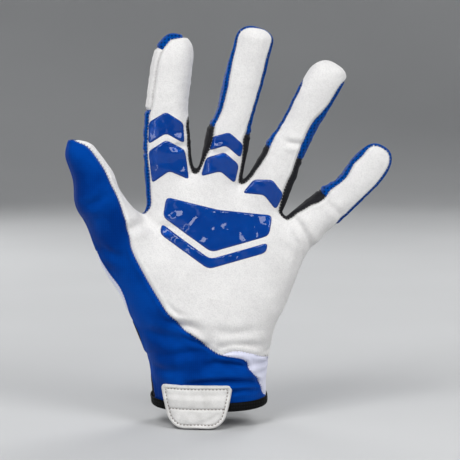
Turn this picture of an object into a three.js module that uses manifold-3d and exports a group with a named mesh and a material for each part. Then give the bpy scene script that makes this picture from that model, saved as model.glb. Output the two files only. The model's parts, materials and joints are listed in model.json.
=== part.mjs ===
// A motocross glove for the left hand, standing open as if worn: fingers up (+Z), palm towards -Y, thumb at -X.
// Millimetres. The origin is the middle of the wrist opening, at the lower edge of the cuff.
// Every fabric panel is a wall cut out of one hollow shell along its seams, with a small gap to its neighbours.
import * as THREE from "three";
import { mergeVertices } from "three/addons/utils/BufferGeometryUtils.js";
import Module from "manifold-3d";

const wasm = await Module();
wasm.setup();

// Fabric and gaps
const wall = 1.5;
const gap = 0.3;

// Hand: the cuff, the heel of the palm and the slanted line of the knuckles
const cuffWidth = 69;
const palmHeight = 126;
const palmDepth = 46;
const knuckleWidth = 110;
const knuckleSlant = 26;
const knuckleShift = 11.7;
const rimTilt = 4;

// Fingers. across: share of the knuckles' half width; length, from the knuckle line to the tip: share of fingerLength;
// width, depth, bow (sideways at mid length) and round (the length over which the tip closes): shares of fingerWidth;
// splay: degrees from upright
const fingerLength = 98;
const fingerWidth = 24.6;
const FINGERS = [
  { name: "index", across: -0.68, length: 0.81, width: 1, depth: 0.894, splay: 2, bow: -0.163, round: 0.89 },
  { name: "middle", across: -0.109, length: 1, width: 0.943, depth: 0.894, splay: 13.3, bow: -0.057, round: 0.49 },
  { name: "ring", across: 0.363, length: 0.99, width: 0.911, depth: 0.854, splay: 26.9, bow: 0, round: 0.41 },
  { name: "little", across: 0.876, length: 0.706, width: 0.862, depth: 0.772, splay: 47.3, bow: 0.081, round: 0.41 },
];
const rootDepth = 18;
const fingerCurl = 10;

// Thumb: a frame at the base of its metacarpal, leaning away from the palm
const thumbLength = 133;
const thumbWidth = 27;
const thumbDepth = 25;
const thumbSplay = -26.2;
const thumbRootX = -22;
const thumbRootZ = 36;
const thumbForward = 18;
const thumbReach = 42;

// Seams: how far the side seams lie in front of and behind the middle of each finger, thumb and palm
const fingerSeam = 6.5;
const outerSeam = 7;
const innerSeam = -2;
const seamShift = 16;
const backCuffHeight = 51;
// Where the backs of the fingers and of the thumb start, as a share of their length
const fingerBackFrom = 0.28;
const thumbBackFrom = 0.53;

// Cuff binding and pull tab
const bindingHeight = 5.2;
const bindingWall = 1.1;
const bindingLip = 1.2;
const tabTop = 14.4;
const tabDrop = 11;
const tabTopWidth = 43.2;
const tabBottomWidth = 30;
const tabThickness = 1.8;
const tabShift = -6.6;
const tabTopRound = 3;
const tabBottomRound = 8;

// Raised grip print
const printThickness = 0.7;
const printBelowKnuckles = 9.6;
const printShift = -0.1;
const printSlant = 10; // degrees
const printHalfWidth = 32;
const printHeight = 50;

// Sections of the hand. up: share of palmHeight; grow: 0 is the cuff's width, 1 the knuckles';
// slant and shift: shares of the knuckles'; front and back: shares of palmDepth
const PALM_ROWS = [
  { up: -0.16, grow: 0.02, slant: 0, shift: 0, front: 0.54, back: 0.52 },
  { up: 0, grow: 0, slant: 0, shift: 0, front: 0.52, back: 0.52 },
  { up: 0.12, grow: 0, slant: 0, shift: 0, front: 0.52, back: 0.5 },
  { up: 0.24, grow: 0.1, slant: 0, shift: 0, front: 0.53, back: 0.47 },
  { up: 0.36, grow: 0.32, slant: 0, shift: -0.09, front: 0.55, back: 0.45 },
  { up: 0.48, grow: 0.59, slant: 0.12, shift: -0.05, front: 0.53, back: 0.43 },
  { up: 0.635, grow: 0.74, slant: 0.31, shift: 0.21, front: 0.46, back: 0.41 },
  { up: 0.805, grow: 0.72, slant: 0.62, shift: 0.87, front: 0.37, back: 0.38 },
  { up: 1, grow: 1, slant: 1, shift: 1, front: 0.24, back: 0.26 },
];
const PALM_LEVELS = [-0.16, 0.03, 0.08, 0.115, 0.15, 0.2, 0.255, 0.33, 0.43, 0.55, 0.68, 0.84, 1];
// The web between the fingers, past the knuckle line. past, wide and shift: shares of knuckleWidth; deep: of palmDepth
const WEB_ROWS = [
  { past: 0.03, wide: 0.62, shift: 0.06, deep: 0.22 },
  { past: 0.066, wide: 0.36, shift: 0.08, deep: 0.19 },
  { past: 0.088, wide: 0.12, shift: 0.08, deep: 0.14 },
];

// Sections of a finger. along: share of its length from the root to the tip; wide and deep: shares of its width and depth
const FINGER_ROWS = [
  { along: 0, wide: 0.92, deep: 1 },
  { along: 0.2, wide: 1.12, deep: 1.06 },
  { along: 0.32, wide: 1.15, deep: 1.06 },
  { along: 0.45, wide: 1.09, deep: 1.02 },
  { along: 0.57, wide: 0.98, deep: 0.95 },
  { along: 0.75, wide: 1, deep: 0.93 },
  { along: 1, wide: 0.99, deep: 0.78 },
];
const FINGER_LEVELS = [0, 0.17, 0.3, 0.44, 0.57, 0.68];
const TIP_LEVELS = [1, 0.5, 0.2, 0.03];

// Sections of the thumb: both ends of each, as shares of thumbLength (up) and thumbWidth (sideways), and its depth
const THUMB_ROWS = [
  { leftUp: 0.006, left: -0.48, rightUp: 0.001, right: 0.5, deep: 1.1 },
  { leftUp: 0.2, left: -0.46, rightUp: 0.156, right: 0.95, deep: 1.5 },
  { leftUp: 0.327, left: -0.55, rightUp: 0.297, right: 1.05, deep: 1.6 },
  { leftUp: 0.447, left: -0.61, rightUp: 0.425, right: 0.95, deep: 1.5 },
  { leftUp: 0.652, left: -0.485, rightUp: 0.564, right: 0.685, deep: 1.2 },
  { leftUp: 0.761, left: -0.467, rightUp: 0.716, right: 0.489, deep: 1 },
  { leftUp: 0.862, left: -0.274, rightUp: 0.823, right: 0.526, deep: 0.88 },
  { leftUp: 0.968, left: -0.17, rightUp: 0.955, right: 0.415, deep: 0.68 },
  { leftUp: 1.032, left: 0.04, rightUp: 1, right: 0.32, deep: 0.38 },
];
const THUMB_STEPS = 9;

// Gathers round the wrist and heel. up: share of palmHeight; from and to: shares of the half width;
// slope: rise over the half width as a share of palmHeight; depth: share of palmDepth; wide: share of palmHeight
const FOLDS = [
  { up: 0.114, from: -0.1, to: 1.2, slope: 0, depth: 0.035, wide: 0.022 },
  { up: 0.2, from: 0.1, to: 0.8, slope: -0.03, depth: 0.03, wide: 0.02 },
  { up: 0.255, from: 0.2, to: 1.2, slope: -0.02, depth: 0.04, wide: 0.024 },
  { up: 0.385, from: -0.5, to: 0.05, slope: -0.02, depth: 0.035, wide: 0.035 },
];

// The main seam, from the thumb's tip down to the wrist, then down the front of the cuff.
// on: which part it follows; at: share along that part; across: share of the half width
const MAIN_SEAM = [
  { on: "thumb", at: 1.05, across: -0.9 },
  { on: "thumb", at: 0.99, across: 0.3 },
  { on: "thumb", at: 0.88, across: 0.76 },
  { on: "thumb", at: 0.77, across: 0.74 },
  { on: "thumb", at: 0.68, across: 0.76 },
  { on: "thumb", at: 0.6, across: 0.76 },
  { on: "thumb", at: 0.52, across: 0.5 },
  { on: "thumb", at: 0.45, across: 0.24 },
  { on: "palm", at: 0.68, across: -1 },
  { on: "palm", at: 0.6, across: -0.8 },
  { on: "palm", at: 0.51, across: -0.62 },
  { on: "palm", at: 0.43, across: -0.46 },
  { on: "palm", at: 0.355, across: -0.22 },
  { on: "palm", at: 0.3, across: -0.02 },
  { on: "palm", at: 0.26, across: 0.2 },
  { on: "palm", at: 0.235, across: 0.55 },
];
const CUFF_SEAM = [
  { on: "palm", at: 0.22, across: 0.64 },
  { on: "palm", at: 0.18, across: 0.71 },
  { on: "palm", at: 0.13, across: 0.85 },
  { on: "palm", at: 0.04, across: 0.99 },
];
const HEEL_SEAM = [
  { on: "palm", at: 0.255, across: 0.15 },
  { on: "palm", at: 0.275, across: 0.44 },
  { on: "palm", at: 0.26, across: 0.7 },
  { on: "palm", at: 0.2, across: 1.3 },
];
// The back's fabric wraps over a corner of the index finger's tip
const TIP_CORNER = [
  { on: "index", at: 0.94, across: -0.78 },
  { on: "index", at: 0.955, across: -0.4 },
  { on: "index", at: 1, across: 0.3 },
];

// Black stretch gussets between the fingers: how far up each side they reach
const GUSSETS = [
  { left: "index", leftTop: 0.52, right: "middle", rightTop: 0.47 },
  { left: "middle", leftTop: 0.47, right: "ring", rightTop: 0.42 },
  { left: "ring", leftTop: 0.47, right: "little", rightTop: 0.45 },
];

// Bars of the grip print on the fingers, as chevrons. rise: of the point, as a share of the width
const FINGER_BARS = [
  { on: "index", from: 0.1, to: 0.29, across: 0.76, rise: 0.26 },
  { on: "index", from: 0.33, to: 0.46, across: 0.76, rise: 0.26 },
  { on: "middle", from: 0.21, to: 0.31, across: 0.74, rise: 0.24 },
  { on: "middle", from: 0.345, to: 0.415, across: 0.74, rise: 0.24 },
  { on: "ring", from: 0.2, to: 0.29, across: 0.72, rise: 0.22 },
];
// Bars on the palm, pointing down: depths are shares of printHeight, half widths shares of printHalfWidth
const PALM_BARS = [
  { top: -0.02, topPoint: 0.02, bottom: 0.22, bottomPoint: 0.52, half: 1 },
  { top: 0.3, topPoint: 0.6, bottom: 0.42, bottomPoint: 0.72, half: 1 },
];

// Resolution, and a reach past every edge of the glove
const palmSides = 20;
const fingerSides = 14;
const sheetStep = 24;
const far = 260;

const palmPower = 2.35;
const fingerPower = 2.2;
const tipPower = 2.2;

const radians = THREE.MathUtils.degToRad;
const mix = THREE.MathUtils.lerp;
const smooth = THREE.MathUtils.smoothstep;

// A column of a table at a place between its rows, as a smooth curve through them.
function column(rows, key, places, at) {
  let i = 0;
  while (i < rows.length - 2 && places[i + 1] < at) i++;
  const span = places[i + 1] - places[i];
  const t = THREE.MathUtils.clamp((at - places[i]) / span, 0, 1);
  const value = (k) => rows[THREE.MathUtils.clamp(k, 0, rows.length - 1)][key];
  const place = (k) => places[THREE.MathUtils.clamp(k, 0, rows.length - 1)];
  const slope = (k) => {
    const reach = place(k + 1) - place(k - 1);
    return ((value(k + 1) - value(k - 1)) / reach) * span;
  };
  const a = value(i);
  const b = value(i + 1);
  const t2 = t * t;
  const t3 = t2 * t;
  return (2 * t3 - 3 * t2 + 1) * a + (t3 - 2 * t2 + t) * slope(i) + (3 * t2 - 2 * t3) * b + (t3 - t2) * slope(i + 1);
}

const palmPlaces = PALM_ROWS.map((row) => row.up);
const fingerPlaces = FINGER_ROWS.map((row) => row.along);
const thumbPlaces = THUMB_ROWS.map((row, k) => k / (THUMB_ROWS.length - 1));

// The plane of the knuckles, seen from the palm: a point on its line, and how far any point lies beyond it
const slantAngle = radians(knuckleSlant);
function onKnuckles(share) {
  const s = (share * knuckleWidth) / 2;
  return [knuckleShift + s * Math.cos(slantAngle), palmHeight - s * Math.sin(slantAngle)];
}
function beyondKnuckles(x, z) {
  return (x - knuckleShift) * Math.sin(slantAngle) + (z - palmHeight) * Math.cos(slantAngle);
}

// The depth of the middle of the glove: the fingers curl towards the palm and the thumb comes forward
function middleDepth(x, z) {
  const curl = Math.max(0, beyondKnuckles(x, z)) / fingerLength;
  const [indexX] = onKnuckles(-1);
  const out = smooth(indexX - x, 0, thumbReach);
  return -fingerCurl * curl * curl - thumbForward * out;
}

// A section: its left and right ends seen from the palm, and its depth in front of and behind the middle
function palmSection(at) {
  const read = (key) => column(PALM_ROWS, key, palmPlaces, at);
  const half = mix(cuffWidth, knuckleWidth, read("grow")) / 2;
  const slant = slantAngle * read("slant");
  const x = knuckleShift * read("shift");
  const z = palmHeight * at;
  return {
    left: [x - half * Math.cos(slant), z + half * Math.sin(slant)],
    right: [x + half * Math.cos(slant), z - half * Math.sin(slant)],
    front: palmDepth * read("front"),
    back: palmDepth * read("back"),
  };
}

function fingerReach(finger) {
  return finger.length * fingerLength + rootDepth;
}

function fingerNamed(name) {
  return FINGERS.find((finger) => finger.name === name);
}

function fingerSection(finger, at) {
  const read = (key) => column(FINGER_ROWS, key, fingerPlaces, at);
  const [x0, z0] = onKnuckles(finger.across);
  const angle = radians(finger.splay);
  const reach = fingerReach(finger);
  const bow = finger.bow * fingerWidth;
  const up = at * reach - rootDepth;
  const side = bow * 4 * at * (1 - at);
  const lean = angle + Math.atan((bow * 4 * (1 - 2 * at)) / reach);
  const x = x0 + up * Math.sin(angle) + side * Math.cos(angle);
  const z = z0 + up * Math.cos(angle) - side * Math.sin(angle);
  const half = (finger.width * fingerWidth * read("wide")) / 2;
  const deep = (finger.depth * fingerWidth * read("deep")) / 2;
  return {
    left: [x - half * Math.cos(lean), z + half * Math.sin(lean)],
    right: [x + half * Math.cos(lean), z - half * Math.sin(lean)],
    front: deep,
    back: deep,
  };
}

function thumbSection(at) {
  const read = (key) => column(THUMB_ROWS, key, thumbPlaces, at);
  const angle = radians(thumbSplay);
  const place = (up, side) => [
    thumbRootX + up * thumbLength * Math.sin(angle) + side * thumbWidth * Math.cos(angle),
    thumbRootZ + up * thumbLength * Math.cos(angle) - side * thumbWidth * Math.sin(angle),
  ];
  const deep = (thumbDepth / 2) * read("deep");
  return {
    left: place(read("leftUp"), read("left")),
    right: place(read("rightUp"), read("right")),
    front: deep,
    back: deep,
  };
}

function sectionOn(part, at) {
  if (part === "palm") return palmSection(at);
  if (part === "thumb") return thumbSection(at);
  return fingerSection(fingerNamed(part), at);
}

// The point [x, z] on a section at a share of its half width
function acrossSection(section, across) {
  const t = (1 + across) / 2;
  return [mix(section.left[0], section.right[0], t), mix(section.left[1], section.right[1], t)];
}

// A smooth line through places given as rows of on, at and across
function seamLine(rows, count) {
  const points = rows.map((row) => new THREE.Vector2(...acrossSection(sectionOn(row.on, row.at), row.across)));
  return new THREE.SplineCurve(points).getSpacedPoints(count).map((p) => [p.x, p.y]);
}

// How far the gathers press the surface in, at a level and a share of the half width
function foldDepth(level, across, frontness) {
  let sum = 0;
  for (const fold of FOLDS) {
    const off = (level - fold.up - fold.slope * across) / fold.wide;
    const inside = smooth(across, fold.from - 0.15, fold.from + 0.15) * (1 - smooth(across, fold.to - 0.15, fold.to + 0.15));
    sum += fold.depth * palmDepth * Math.exp(-off * off) * inside;
  }
  return sum * frontness;
}

// One ring of points round a section, grown outwards by an offset
function ringOf(section, offset, sides, power, level = null) {
  const left = new THREE.Vector2(...section.left);
  const right = new THREE.Vector2(...section.right);
  const middle = left.clone().add(right).multiplyScalar(0.5);
  const side = right.clone().sub(left);
  const half = side.length() / 2 + offset;
  side.normalize();
  const depth = middleDepth(middle.x, middle.y);
  const ring = [];
  for (let k = 0; k < sides; k++) {
    const angle = (2 * Math.PI * k) / sides;
    const c = Math.cos(angle);
    const s = Math.sin(angle);
    const across = Math.sign(c) * Math.abs(c) ** (2 / power);
    const deep = Math.sign(s) * Math.abs(s) ** (2 / power);
    const reach = (s > 0 ? section.back : section.front) + offset;
    const pressed = level === null ? 0 : foldDepth(level, across, smooth(-s, -0.2, 0.4));
    const u = across * (half - pressed);
    const v = deep * (reach - pressed);
    ring.push(new THREE.Vector3(middle.x + side.x * u, depth + v, middle.y + side.y * u));
  }
  return ring;
}

// A closed geometry through rings of points, each counter-clockwise seen from the last ring
function loft(rings) {
  const count = rings[0].length;
  const points = rings.flat();
  const index = [];
  for (let r = 0; r + 1 < rings.length; r++)
    for (let k = 0; k < count; k++) {
      const a = r * count + k;
      const b = r * count + ((k + 1) % count);
      index.push(a, b, b + count, a, b + count, a + count);
    }
  const middleOf = (ring) => ring.reduce((sum, p) => sum.add(p), new THREE.Vector3()).divideScalar(count);
  const first = points.push(middleOf(rings[0])) - 1;
  const last = points.push(middleOf(rings[rings.length - 1])) - 1;
  const start = (rings.length - 1) * count;
  for (let k = 0; k < count; k++) {
    const next = (k + 1) % count;
    index.push(first, next, k, last, start + k, start + next);
  }
  return new THREE.BufferGeometry().setFromPoints(points).setIndex(index);
}

function solidOf(geometry) {
  geometry.deleteAttribute("normal");
  geometry.deleteAttribute("uv");
  const merged = mergeVertices(geometry, 1e-4);
  const mesh = new wasm.Mesh({
    numProp: 3,
    vertProperties: merged.attributes.position.array,
    triVerts: new Uint32Array(merged.index.array),
  });
  return new wasm.Manifold(mesh);
}

function joined(solids) {
  return solids.reduce((sum, solid) => sum.add(solid));
}

// A section of the web between the fingers
function webSection({ past, wide, shift, deep }, offset) {
  const s = shift * knuckleWidth;
  const up = past * knuckleWidth + offset;
  const half = (wide * knuckleWidth) / 2;
  const [c, d] = [Math.cos(slantAngle), Math.sin(slantAngle)];
  const place = (side) => [knuckleShift + side * c + up * d, palmHeight - side * d + up * c];
  return { left: place(s - half), right: place(s + half), front: deep * palmDepth, back: deep * palmDepth };
}

// The hand's outline as a solid, grown by an offset; standOff adds to it by height
function palmSolid(offset, { top = 1, standOff = () => 0 } = {}) {
  const rings = PALM_LEVELS.filter((level) => level <= top).map((level) =>
    ringOf(palmSection(level), offset + standOff(level * palmHeight), palmSides, palmPower, level),
  );
  if (top === 1) WEB_ROWS.forEach((row) => rings.push(ringOf(webSection(row, offset), offset, palmSides, palmPower)));
  return solidOf(loft(rings));
}

function fingerSolid(finger, offset) {
  const reach = fingerReach(finger);
  const rings = FINGER_LEVELS.map((at) => ringOf(fingerSection(finger, at), offset, fingerSides, fingerPower));
  const round = finger.round * fingerWidth + offset;
  for (const level of TIP_LEVELS) {
    const at = (reach + offset - level * round) / reach;
    const narrow = (1 - (1 - level) ** tipPower) ** (1 / tipPower);
    const section = fingerSection(finger, at);
    const half = Math.hypot(section.right[0] - section.left[0], section.right[1] - section.left[1]) / 2;
    const keep = (narrow * (half + offset) - offset) / half;
    const tip = {
      left: acrossSection(section, -keep),
      right: acrossSection(section, keep),
      front: narrow * (section.front + offset) - offset,
      back: narrow * (section.back + offset) - offset,
    };
    rings.push(ringOf(tip, offset, fingerSides, fingerPower));
  }
  return solidOf(loft(rings));
}

function thumbSolid(offset) {
  const rings = [];
  const angle = radians(thumbSplay);
  for (let k = 0; k <= THUMB_STEPS; k++) {
    const section = thumbSection(k / THUMB_STEPS);
    if (k === THUMB_STEPS)
      for (const end of [section.left, section.right]) {
        end[0] += offset * Math.sin(angle);
        end[1] += offset * Math.cos(angle);
      }
    rings.push(ringOf(section, offset, fingerSides, fingerPower));
  }
  return solidOf(loft(rings));
}

function gloveSolid(offset) {
  const fingers = FINGERS.map((finger) => fingerSolid(finger, offset));
  return joined([palmSolid(offset), thumbSolid(offset), ...fingers]);
}

// A region seen from the palm, as a prism right through the glove
function prism(outline) {
  const shape = new THREE.Shape(outline.map(([x, z]) => new THREE.Vector2(x, z)));
  const geometry = new THREE.ExtrudeGeometry(shape, { depth: 2 * far, bevelEnabled: false });
  geometry.rotateX(Math.PI / 2).translate(0, far, 0);
  return solidOf(geometry);
}

// An outline moved outwards by a distance, corner by corner
function grown(outline, distance) {
  const count = outline.length;
  const area = outline.reduce((sum, [x, z], k) => {
    const [nx, nz] = outline[(k + 1) % count];
    return sum + x * nz - nx * z;
  }, 0);
  const turn = Math.sign(area);
  return outline.map((point, k) => {
    const before = new THREE.Vector2(...outline[(k + count - 1) % count]);
    const here = new THREE.Vector2(...point);
    const after = new THREE.Vector2(...outline[(k + 1) % count]);
    const a = here.clone().sub(before).normalize();
    const b = after.clone().sub(here).normalize();
    const normal = new THREE.Vector2(a.y + b.y, -a.x - b.x).normalize().multiplyScalar(turn);
    const stretch = 1 / Math.max(0.5, Math.abs(normal.x * a.y - normal.y * a.x));
    return [here.x + normal.x * distance * stretch, here.y + normal.y * distance * stretch];
  });
}

// Everything in front of a sheet, towards -Y, whose depth is a function of x and z
function inFrontOf(depthAt) {
  const [reachX, lowZ, highZ] = [7 * sheetStep, -2 * sheetStep, 14 * sheetStep];
  const rings = [];
  for (let z = lowZ; z <= highZ; z += sheetStep) {
    const line = [new THREE.Vector3(-reachX, -far, z), new THREE.Vector3(reachX, -far, z)];
    for (let x = reachX; x >= -reachX; x -= sheetStep) line.push(new THREE.Vector3(x, depthAt(x, z), z));
    rings.push(line);
  }
  return solidOf(loft(rings));
}

// Everything above a height over the tilted lower edge of the cuff
function aboveRim(height) {
  const geometry = new THREE.BoxGeometry(2 * far, 2 * far, 2 * far);
  geometry.translate(0, 0, far + height).rotateX(radians(rimTilt));
  return solidOf(geometry);
}

// How far the side seam lies in front of the middle: on the fingers, and on the outer and inner sides of thumb and palm
const thumbLine = [0.1, 0.35, 0.5, 0.7, 0.85, 1].map((at) => acrossSection(thumbSection(at), 0.1));
function rightOfThumbLine(x, z) {
  const line = [[0, 0], ...thumbLine];
  let i = 0;
  while (i < line.length - 2 && line[i + 1][1] < z) i++;
  const t = (z - line[i][1]) / (line[i + 1][1] - line[i][1]);
  return x - mix(line[i][0], line[i + 1][0], t);
}
function sideSeamDepth(x, z) {
  const inner = mix(outerSeam, innerSeam, smooth(rightOfThumbLine(x, z), -seamShift / 2, seamShift / 2));
  const [indexX] = onKnuckles(-1);
  const start = -palmHeight * mix(0.33, 0.14, THREE.MathUtils.clamp((x - indexX) / knuckleWidth, 0, 1));
  const onFingers =
    smooth(beyondKnuckles(x, z), start, start + seamShift) * smooth(x, indexX - seamShift / 4, indexX);
  return middleDepth(x, z) - mix(inner, fingerSeam, onFingers);
}
function backSeamDepth(x, z) {
  return middleDepth(x, z) + fingerSeam;
}

// Regions seen from the palm
const mainLine = seamLine(MAIN_SEAM, 27);
const cuffLine = seamLine(CUFF_SEAM, 6);
const blueOutline = [...mainLine, ...cuffLine, [cuffLine.at(-1)[0], -far], [-far, -far], [-far, mainLine[0][1]]];
const sideOutline = [...seamLine(HEEL_SEAM, 8), [far, -far], [0, -far], [0, HEEL_SEAM[0].at * palmHeight]];

function bandOutline(part, from, to, inner, outer) {
  const corner = (at, across) => acrossSection(sectionOn(part, at), across);
  const steps = [0, 0.33, 0.67, 1].map((t) => mix(from, to, t));
  return [...steps.map((at) => corner(at, inner)), ...steps.reverse().map((at) => corner(at, outer))];
}

function gussetOutline({ left, leftTop, right, rightTop }) {
  const leftSide = [leftTop, 0.36, 0.2, 0.08].map((at) => acrossSection(sectionOn(left, at), 0.5));
  const rightSide = [0.08, 0.2, 0.36, rightTop].map((at) => acrossSection(sectionOn(right, at), -0.5));
  const over = [
    acrossSection(sectionOn(right, rightTop), -1.25),
    acrossSection(sectionOn(left, leftTop), 1.25),
  ];
  return [...leftSide, ...rightSide, ...over];
}

function barOutline({ on, from, to, across, rise }) {
  const finger = fingerNamed(on);
  const lift = (rise * finger.width * fingerWidth) / fingerReach(finger);
  const corner = (at, share) => acrossSection(fingerSection(finger, at), share);
  return [corner(from, -across), corner(from + lift, 0), corner(from, across)].concat([
    corner(to, across),
    corner(to + lift, 0),
    corner(to, -across),
  ]);
}

function palmBarOutline({ top, topPoint, bottom, bottomPoint, half }) {
  const angle = radians(printSlant);
  const [centreX, knuckleZ] = onKnuckles(printShift);
  const place = (side, down) => {
    const u = side * printHalfWidth;
    const v = -down * printHeight;
    return [
      centreX + u * Math.cos(angle) + v * Math.sin(angle),
      knuckleZ - printBelowKnuckles - u * Math.sin(angle) + v * Math.cos(angle),
    ];
  };
  return [
    place(-half, bottom),
    place(0, bottomPoint),
    place(half, bottom),
    place(half, top),
    place(0, topPoint),
    place(-half, top),
  ];
}

function tabOutline() {
  const shape = new THREE.Shape();
  const top = tabTopWidth / 2;
  const bottom = tabBottomWidth / 2;
  const lean = (top - bottom) / (tabTop + tabDrop);
  shape.moveTo(-bottom + tabBottomRound * 0.5, -tabDrop);
  shape.quadraticCurveTo(0, -tabDrop - gap, bottom - tabBottomRound * 0.5, -tabDrop);
  shape.quadraticCurveTo(bottom, -tabDrop, bottom + lean * tabBottomRound, -tabDrop + tabBottomRound);
  shape.lineTo(top - lean * tabTopRound, tabTop - tabTopRound);
  shape.quadraticCurveTo(top, tabTop, top - tabTopRound, tabTop);
  shape.lineTo(-top + tabTopRound, tabTop);
  shape.quadraticCurveTo(-top, tabTop, -top + lean * tabTopRound, tabTop - tabTopRound);
  shape.lineTo(-bottom - lean * tabBottomRound, -tabDrop + tabBottomRound);
  shape.quadraticCurveTo(-bottom, -tabDrop, -bottom + tabBottomRound * 0.5, -tabDrop);
  const outline = shape.getPoints(3).map((p) => [p.x + tabShift, p.y]);
  outline.pop();
  return outline;
}

// Materials
const fabric = (color, roughness) => new THREE.MeshStandardMaterial({ color, roughness, metalness: 0 });
const whiteSuede = fabric(0xe4e2df, 0.85);
const whiteFabric = fabric(0xdfe0ee, 0.75);
const blueStretch = fabric(0x0a3f9e, 0.6);
const blueMesh = fabric(0x0b3c94, 0.7);
const blackStretch = fabric(0x0c0c0e, 0.75);
const blueGel = fabric(0x0538a8, 0.18);
const whiteLeather = fabric(0xe2e0dd, 0.55);

const glove = new THREE.Group();
function add(name, solid, material) {
  const made = solid.getMesh();
  const positions = new Float32Array(made.numVert * 3);
  for (let k = 0; k < made.numVert; k++)
    positions.set(made.vertProperties.subarray(k * made.numProp, k * made.numProp + 3), k * 3);
  const geometry = new THREE.BufferGeometry()
    .setAttribute("position", new THREE.BufferAttribute(positions, 3))
    .setIndex(new THREE.BufferAttribute(made.triVerts, 1));
  geometry.computeVertexNormals();
  const mesh = new THREE.Mesh(geometry, material);
  mesh.name = name;
  glove.add(mesh);
}

// The largest body of a solid, without slivers that a cut leaves beside it
function mainBody(solid) {
  return solid.decompose().reduce((a, b) => (a.volume() > b.volume() ? a : b));
}

// The hollow shell, split by the side seams
const shell = gloveSolid(0)
  .intersect(aboveRim(bindingLip + gap))
  .subtract(gloveSolid(-wall));
const tipCorner = seamLine(TIP_CORNER, 6).concat(bandOutline("index", 0.9, 1.1, 1.2, -1.6).slice(3, 8));
const front = shell.intersect(inFrontOf(sideSeamDepth)).subtract(prism(grown(tipCorner, gap)));
const behind = shell
  .subtract(inFrontOf((x, z) => sideSeamDepth(x, z) + gap))
  .add(shell.intersect(prism(tipCorner)));

// Front: blue thumb and wrist panel, white wrist side panel and white palm
const blueZone = prism(blueOutline);
const blueZoneGrown = prism(grown(blueOutline, gap));
const sideZone = prism(sideOutline);
const sideZoneGrown = prism(grown(sideOutline, gap));
add("thumb_wrist_panel", mainBody(front.intersect(blueZone)), blueStretch);
add("wrist_side_panel", mainBody(front.intersect(sideZone).subtract(blueZoneGrown)), whiteFabric);
add("palm_panel", mainBody(front.subtract(blueZoneGrown).subtract(sideZoneGrown)), whiteSuede);

// Sides: black gussets between the fingers and a white strip down the outside of the index finger
let back = behind;
const band = inFrontOf(backSeamDepth);
const bandGrown = inFrontOf((x, z) => backSeamDepth(x, z) + gap);
function addSide(name, outline, material) {
  add(name, mainBody(behind.intersect(band).intersect(prism(outline))), material);
  back = back.subtract(bandGrown.intersect(prism(grown(outline, gap))));
}
GUSSETS.forEach((gusset) => addSide(`gusset_${gusset.left}_${gusset.right}`, gussetOutline(gusset), blackStretch));
addSide("index_side_strip", bandOutline("index", 0.53, 0.89, -0.5, -1.3), whiteSuede);

// Back: black cuff panel, white patch beside the thumb, and blue panels on the fingers, the thumb and the hand
function addBack(name, outline, material) {
  add(name, mainBody(back.intersect(prism(outline))), material);
  back = back.subtract(prism(grown(outline, gap)));
}
const backCuff = [
  [-far, -far],
  [far, -far],
  [far, backCuffHeight],
  [-far, backCuffHeight],
];
addBack("back_cuff_panel", backCuff, blackStretch);
addBack("thumb_base_patch", bandOutline("thumb", 0.13, 0.42, 0.1, -1.5), whiteFabric);
FINGERS.forEach(({ name }) => addBack(`${name}_back`, bandOutline(name, fingerBackFrom, 1.15, -1.25, 1.25), blueMesh));
addBack("thumb_back", bandOutline("thumb", thumbBackFrom, 1.12, 1.12, -1.6), blueMesh);
add("back_panel", mainBody(back), blueMesh);

// Binding folded over the lower edge, and the pull tab sewn over it
const bindingZone = aboveRim(0).subtract(aboveRim(bindingHeight));
const lowPalm = { top: 0.2 };
const slot = palmSolid(gap, lowPalm)
  .subtract(palmSolid(-wall - gap, lowPalm))
  .intersect(aboveRim(bindingLip));
const binding = palmSolid(gap + bindingWall, lowPalm)
  .subtract(palmSolid(-wall - gap - bindingWall, lowPalm))
  .intersect(bindingZone)
  .subtract(slot);
add("cuff_binding", mainBody(binding), blackStretch);

const overBinding = gap + bindingWall;
const standOff = (height) => overBinding * (1 - smooth(height, bindingHeight, 1.75 * bindingHeight));
const tab = palmSolid(gap + tabThickness, { top: 0.2, standOff })
  .subtract(palmSolid(gap, { top: 0.2, standOff }))
  .intersect(prism(tabOutline()))
  .intersect(inFrontOf(() => 0));
add("pull_tab", mainBody(tab), whiteLeather);

// Grip print: bars that stand on the palm panel
const printLayer = gloveSolid(gap + printThickness)
  .subtract(gloveSolid(gap))
  .intersect(inFrontOf((x, z) => sideSeamDepth(x, z) - gap));
const counts = {};
const barsOn = [
  ...FINGER_BARS.map((bar) => [bar.on, barOutline(bar)]),
  ...PALM_BARS.map((bar) => ["palm", palmBarOutline(bar)]),
];
for (const [on, outline] of barsOn) {
  counts[on] = (counts[on] ?? 0) + 1;
  add(`grip_${on}_${counts[on]}`, mainBody(printLayer.intersect(prism(outline))), blueGel);
}

export default glove;
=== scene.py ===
# A motocross glove for the left hand: stretch fabric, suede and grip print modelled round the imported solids.
import json
import math

import bpy
import numpy as np
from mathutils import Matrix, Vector
from mathutils.kdtree import KDTree


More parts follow.
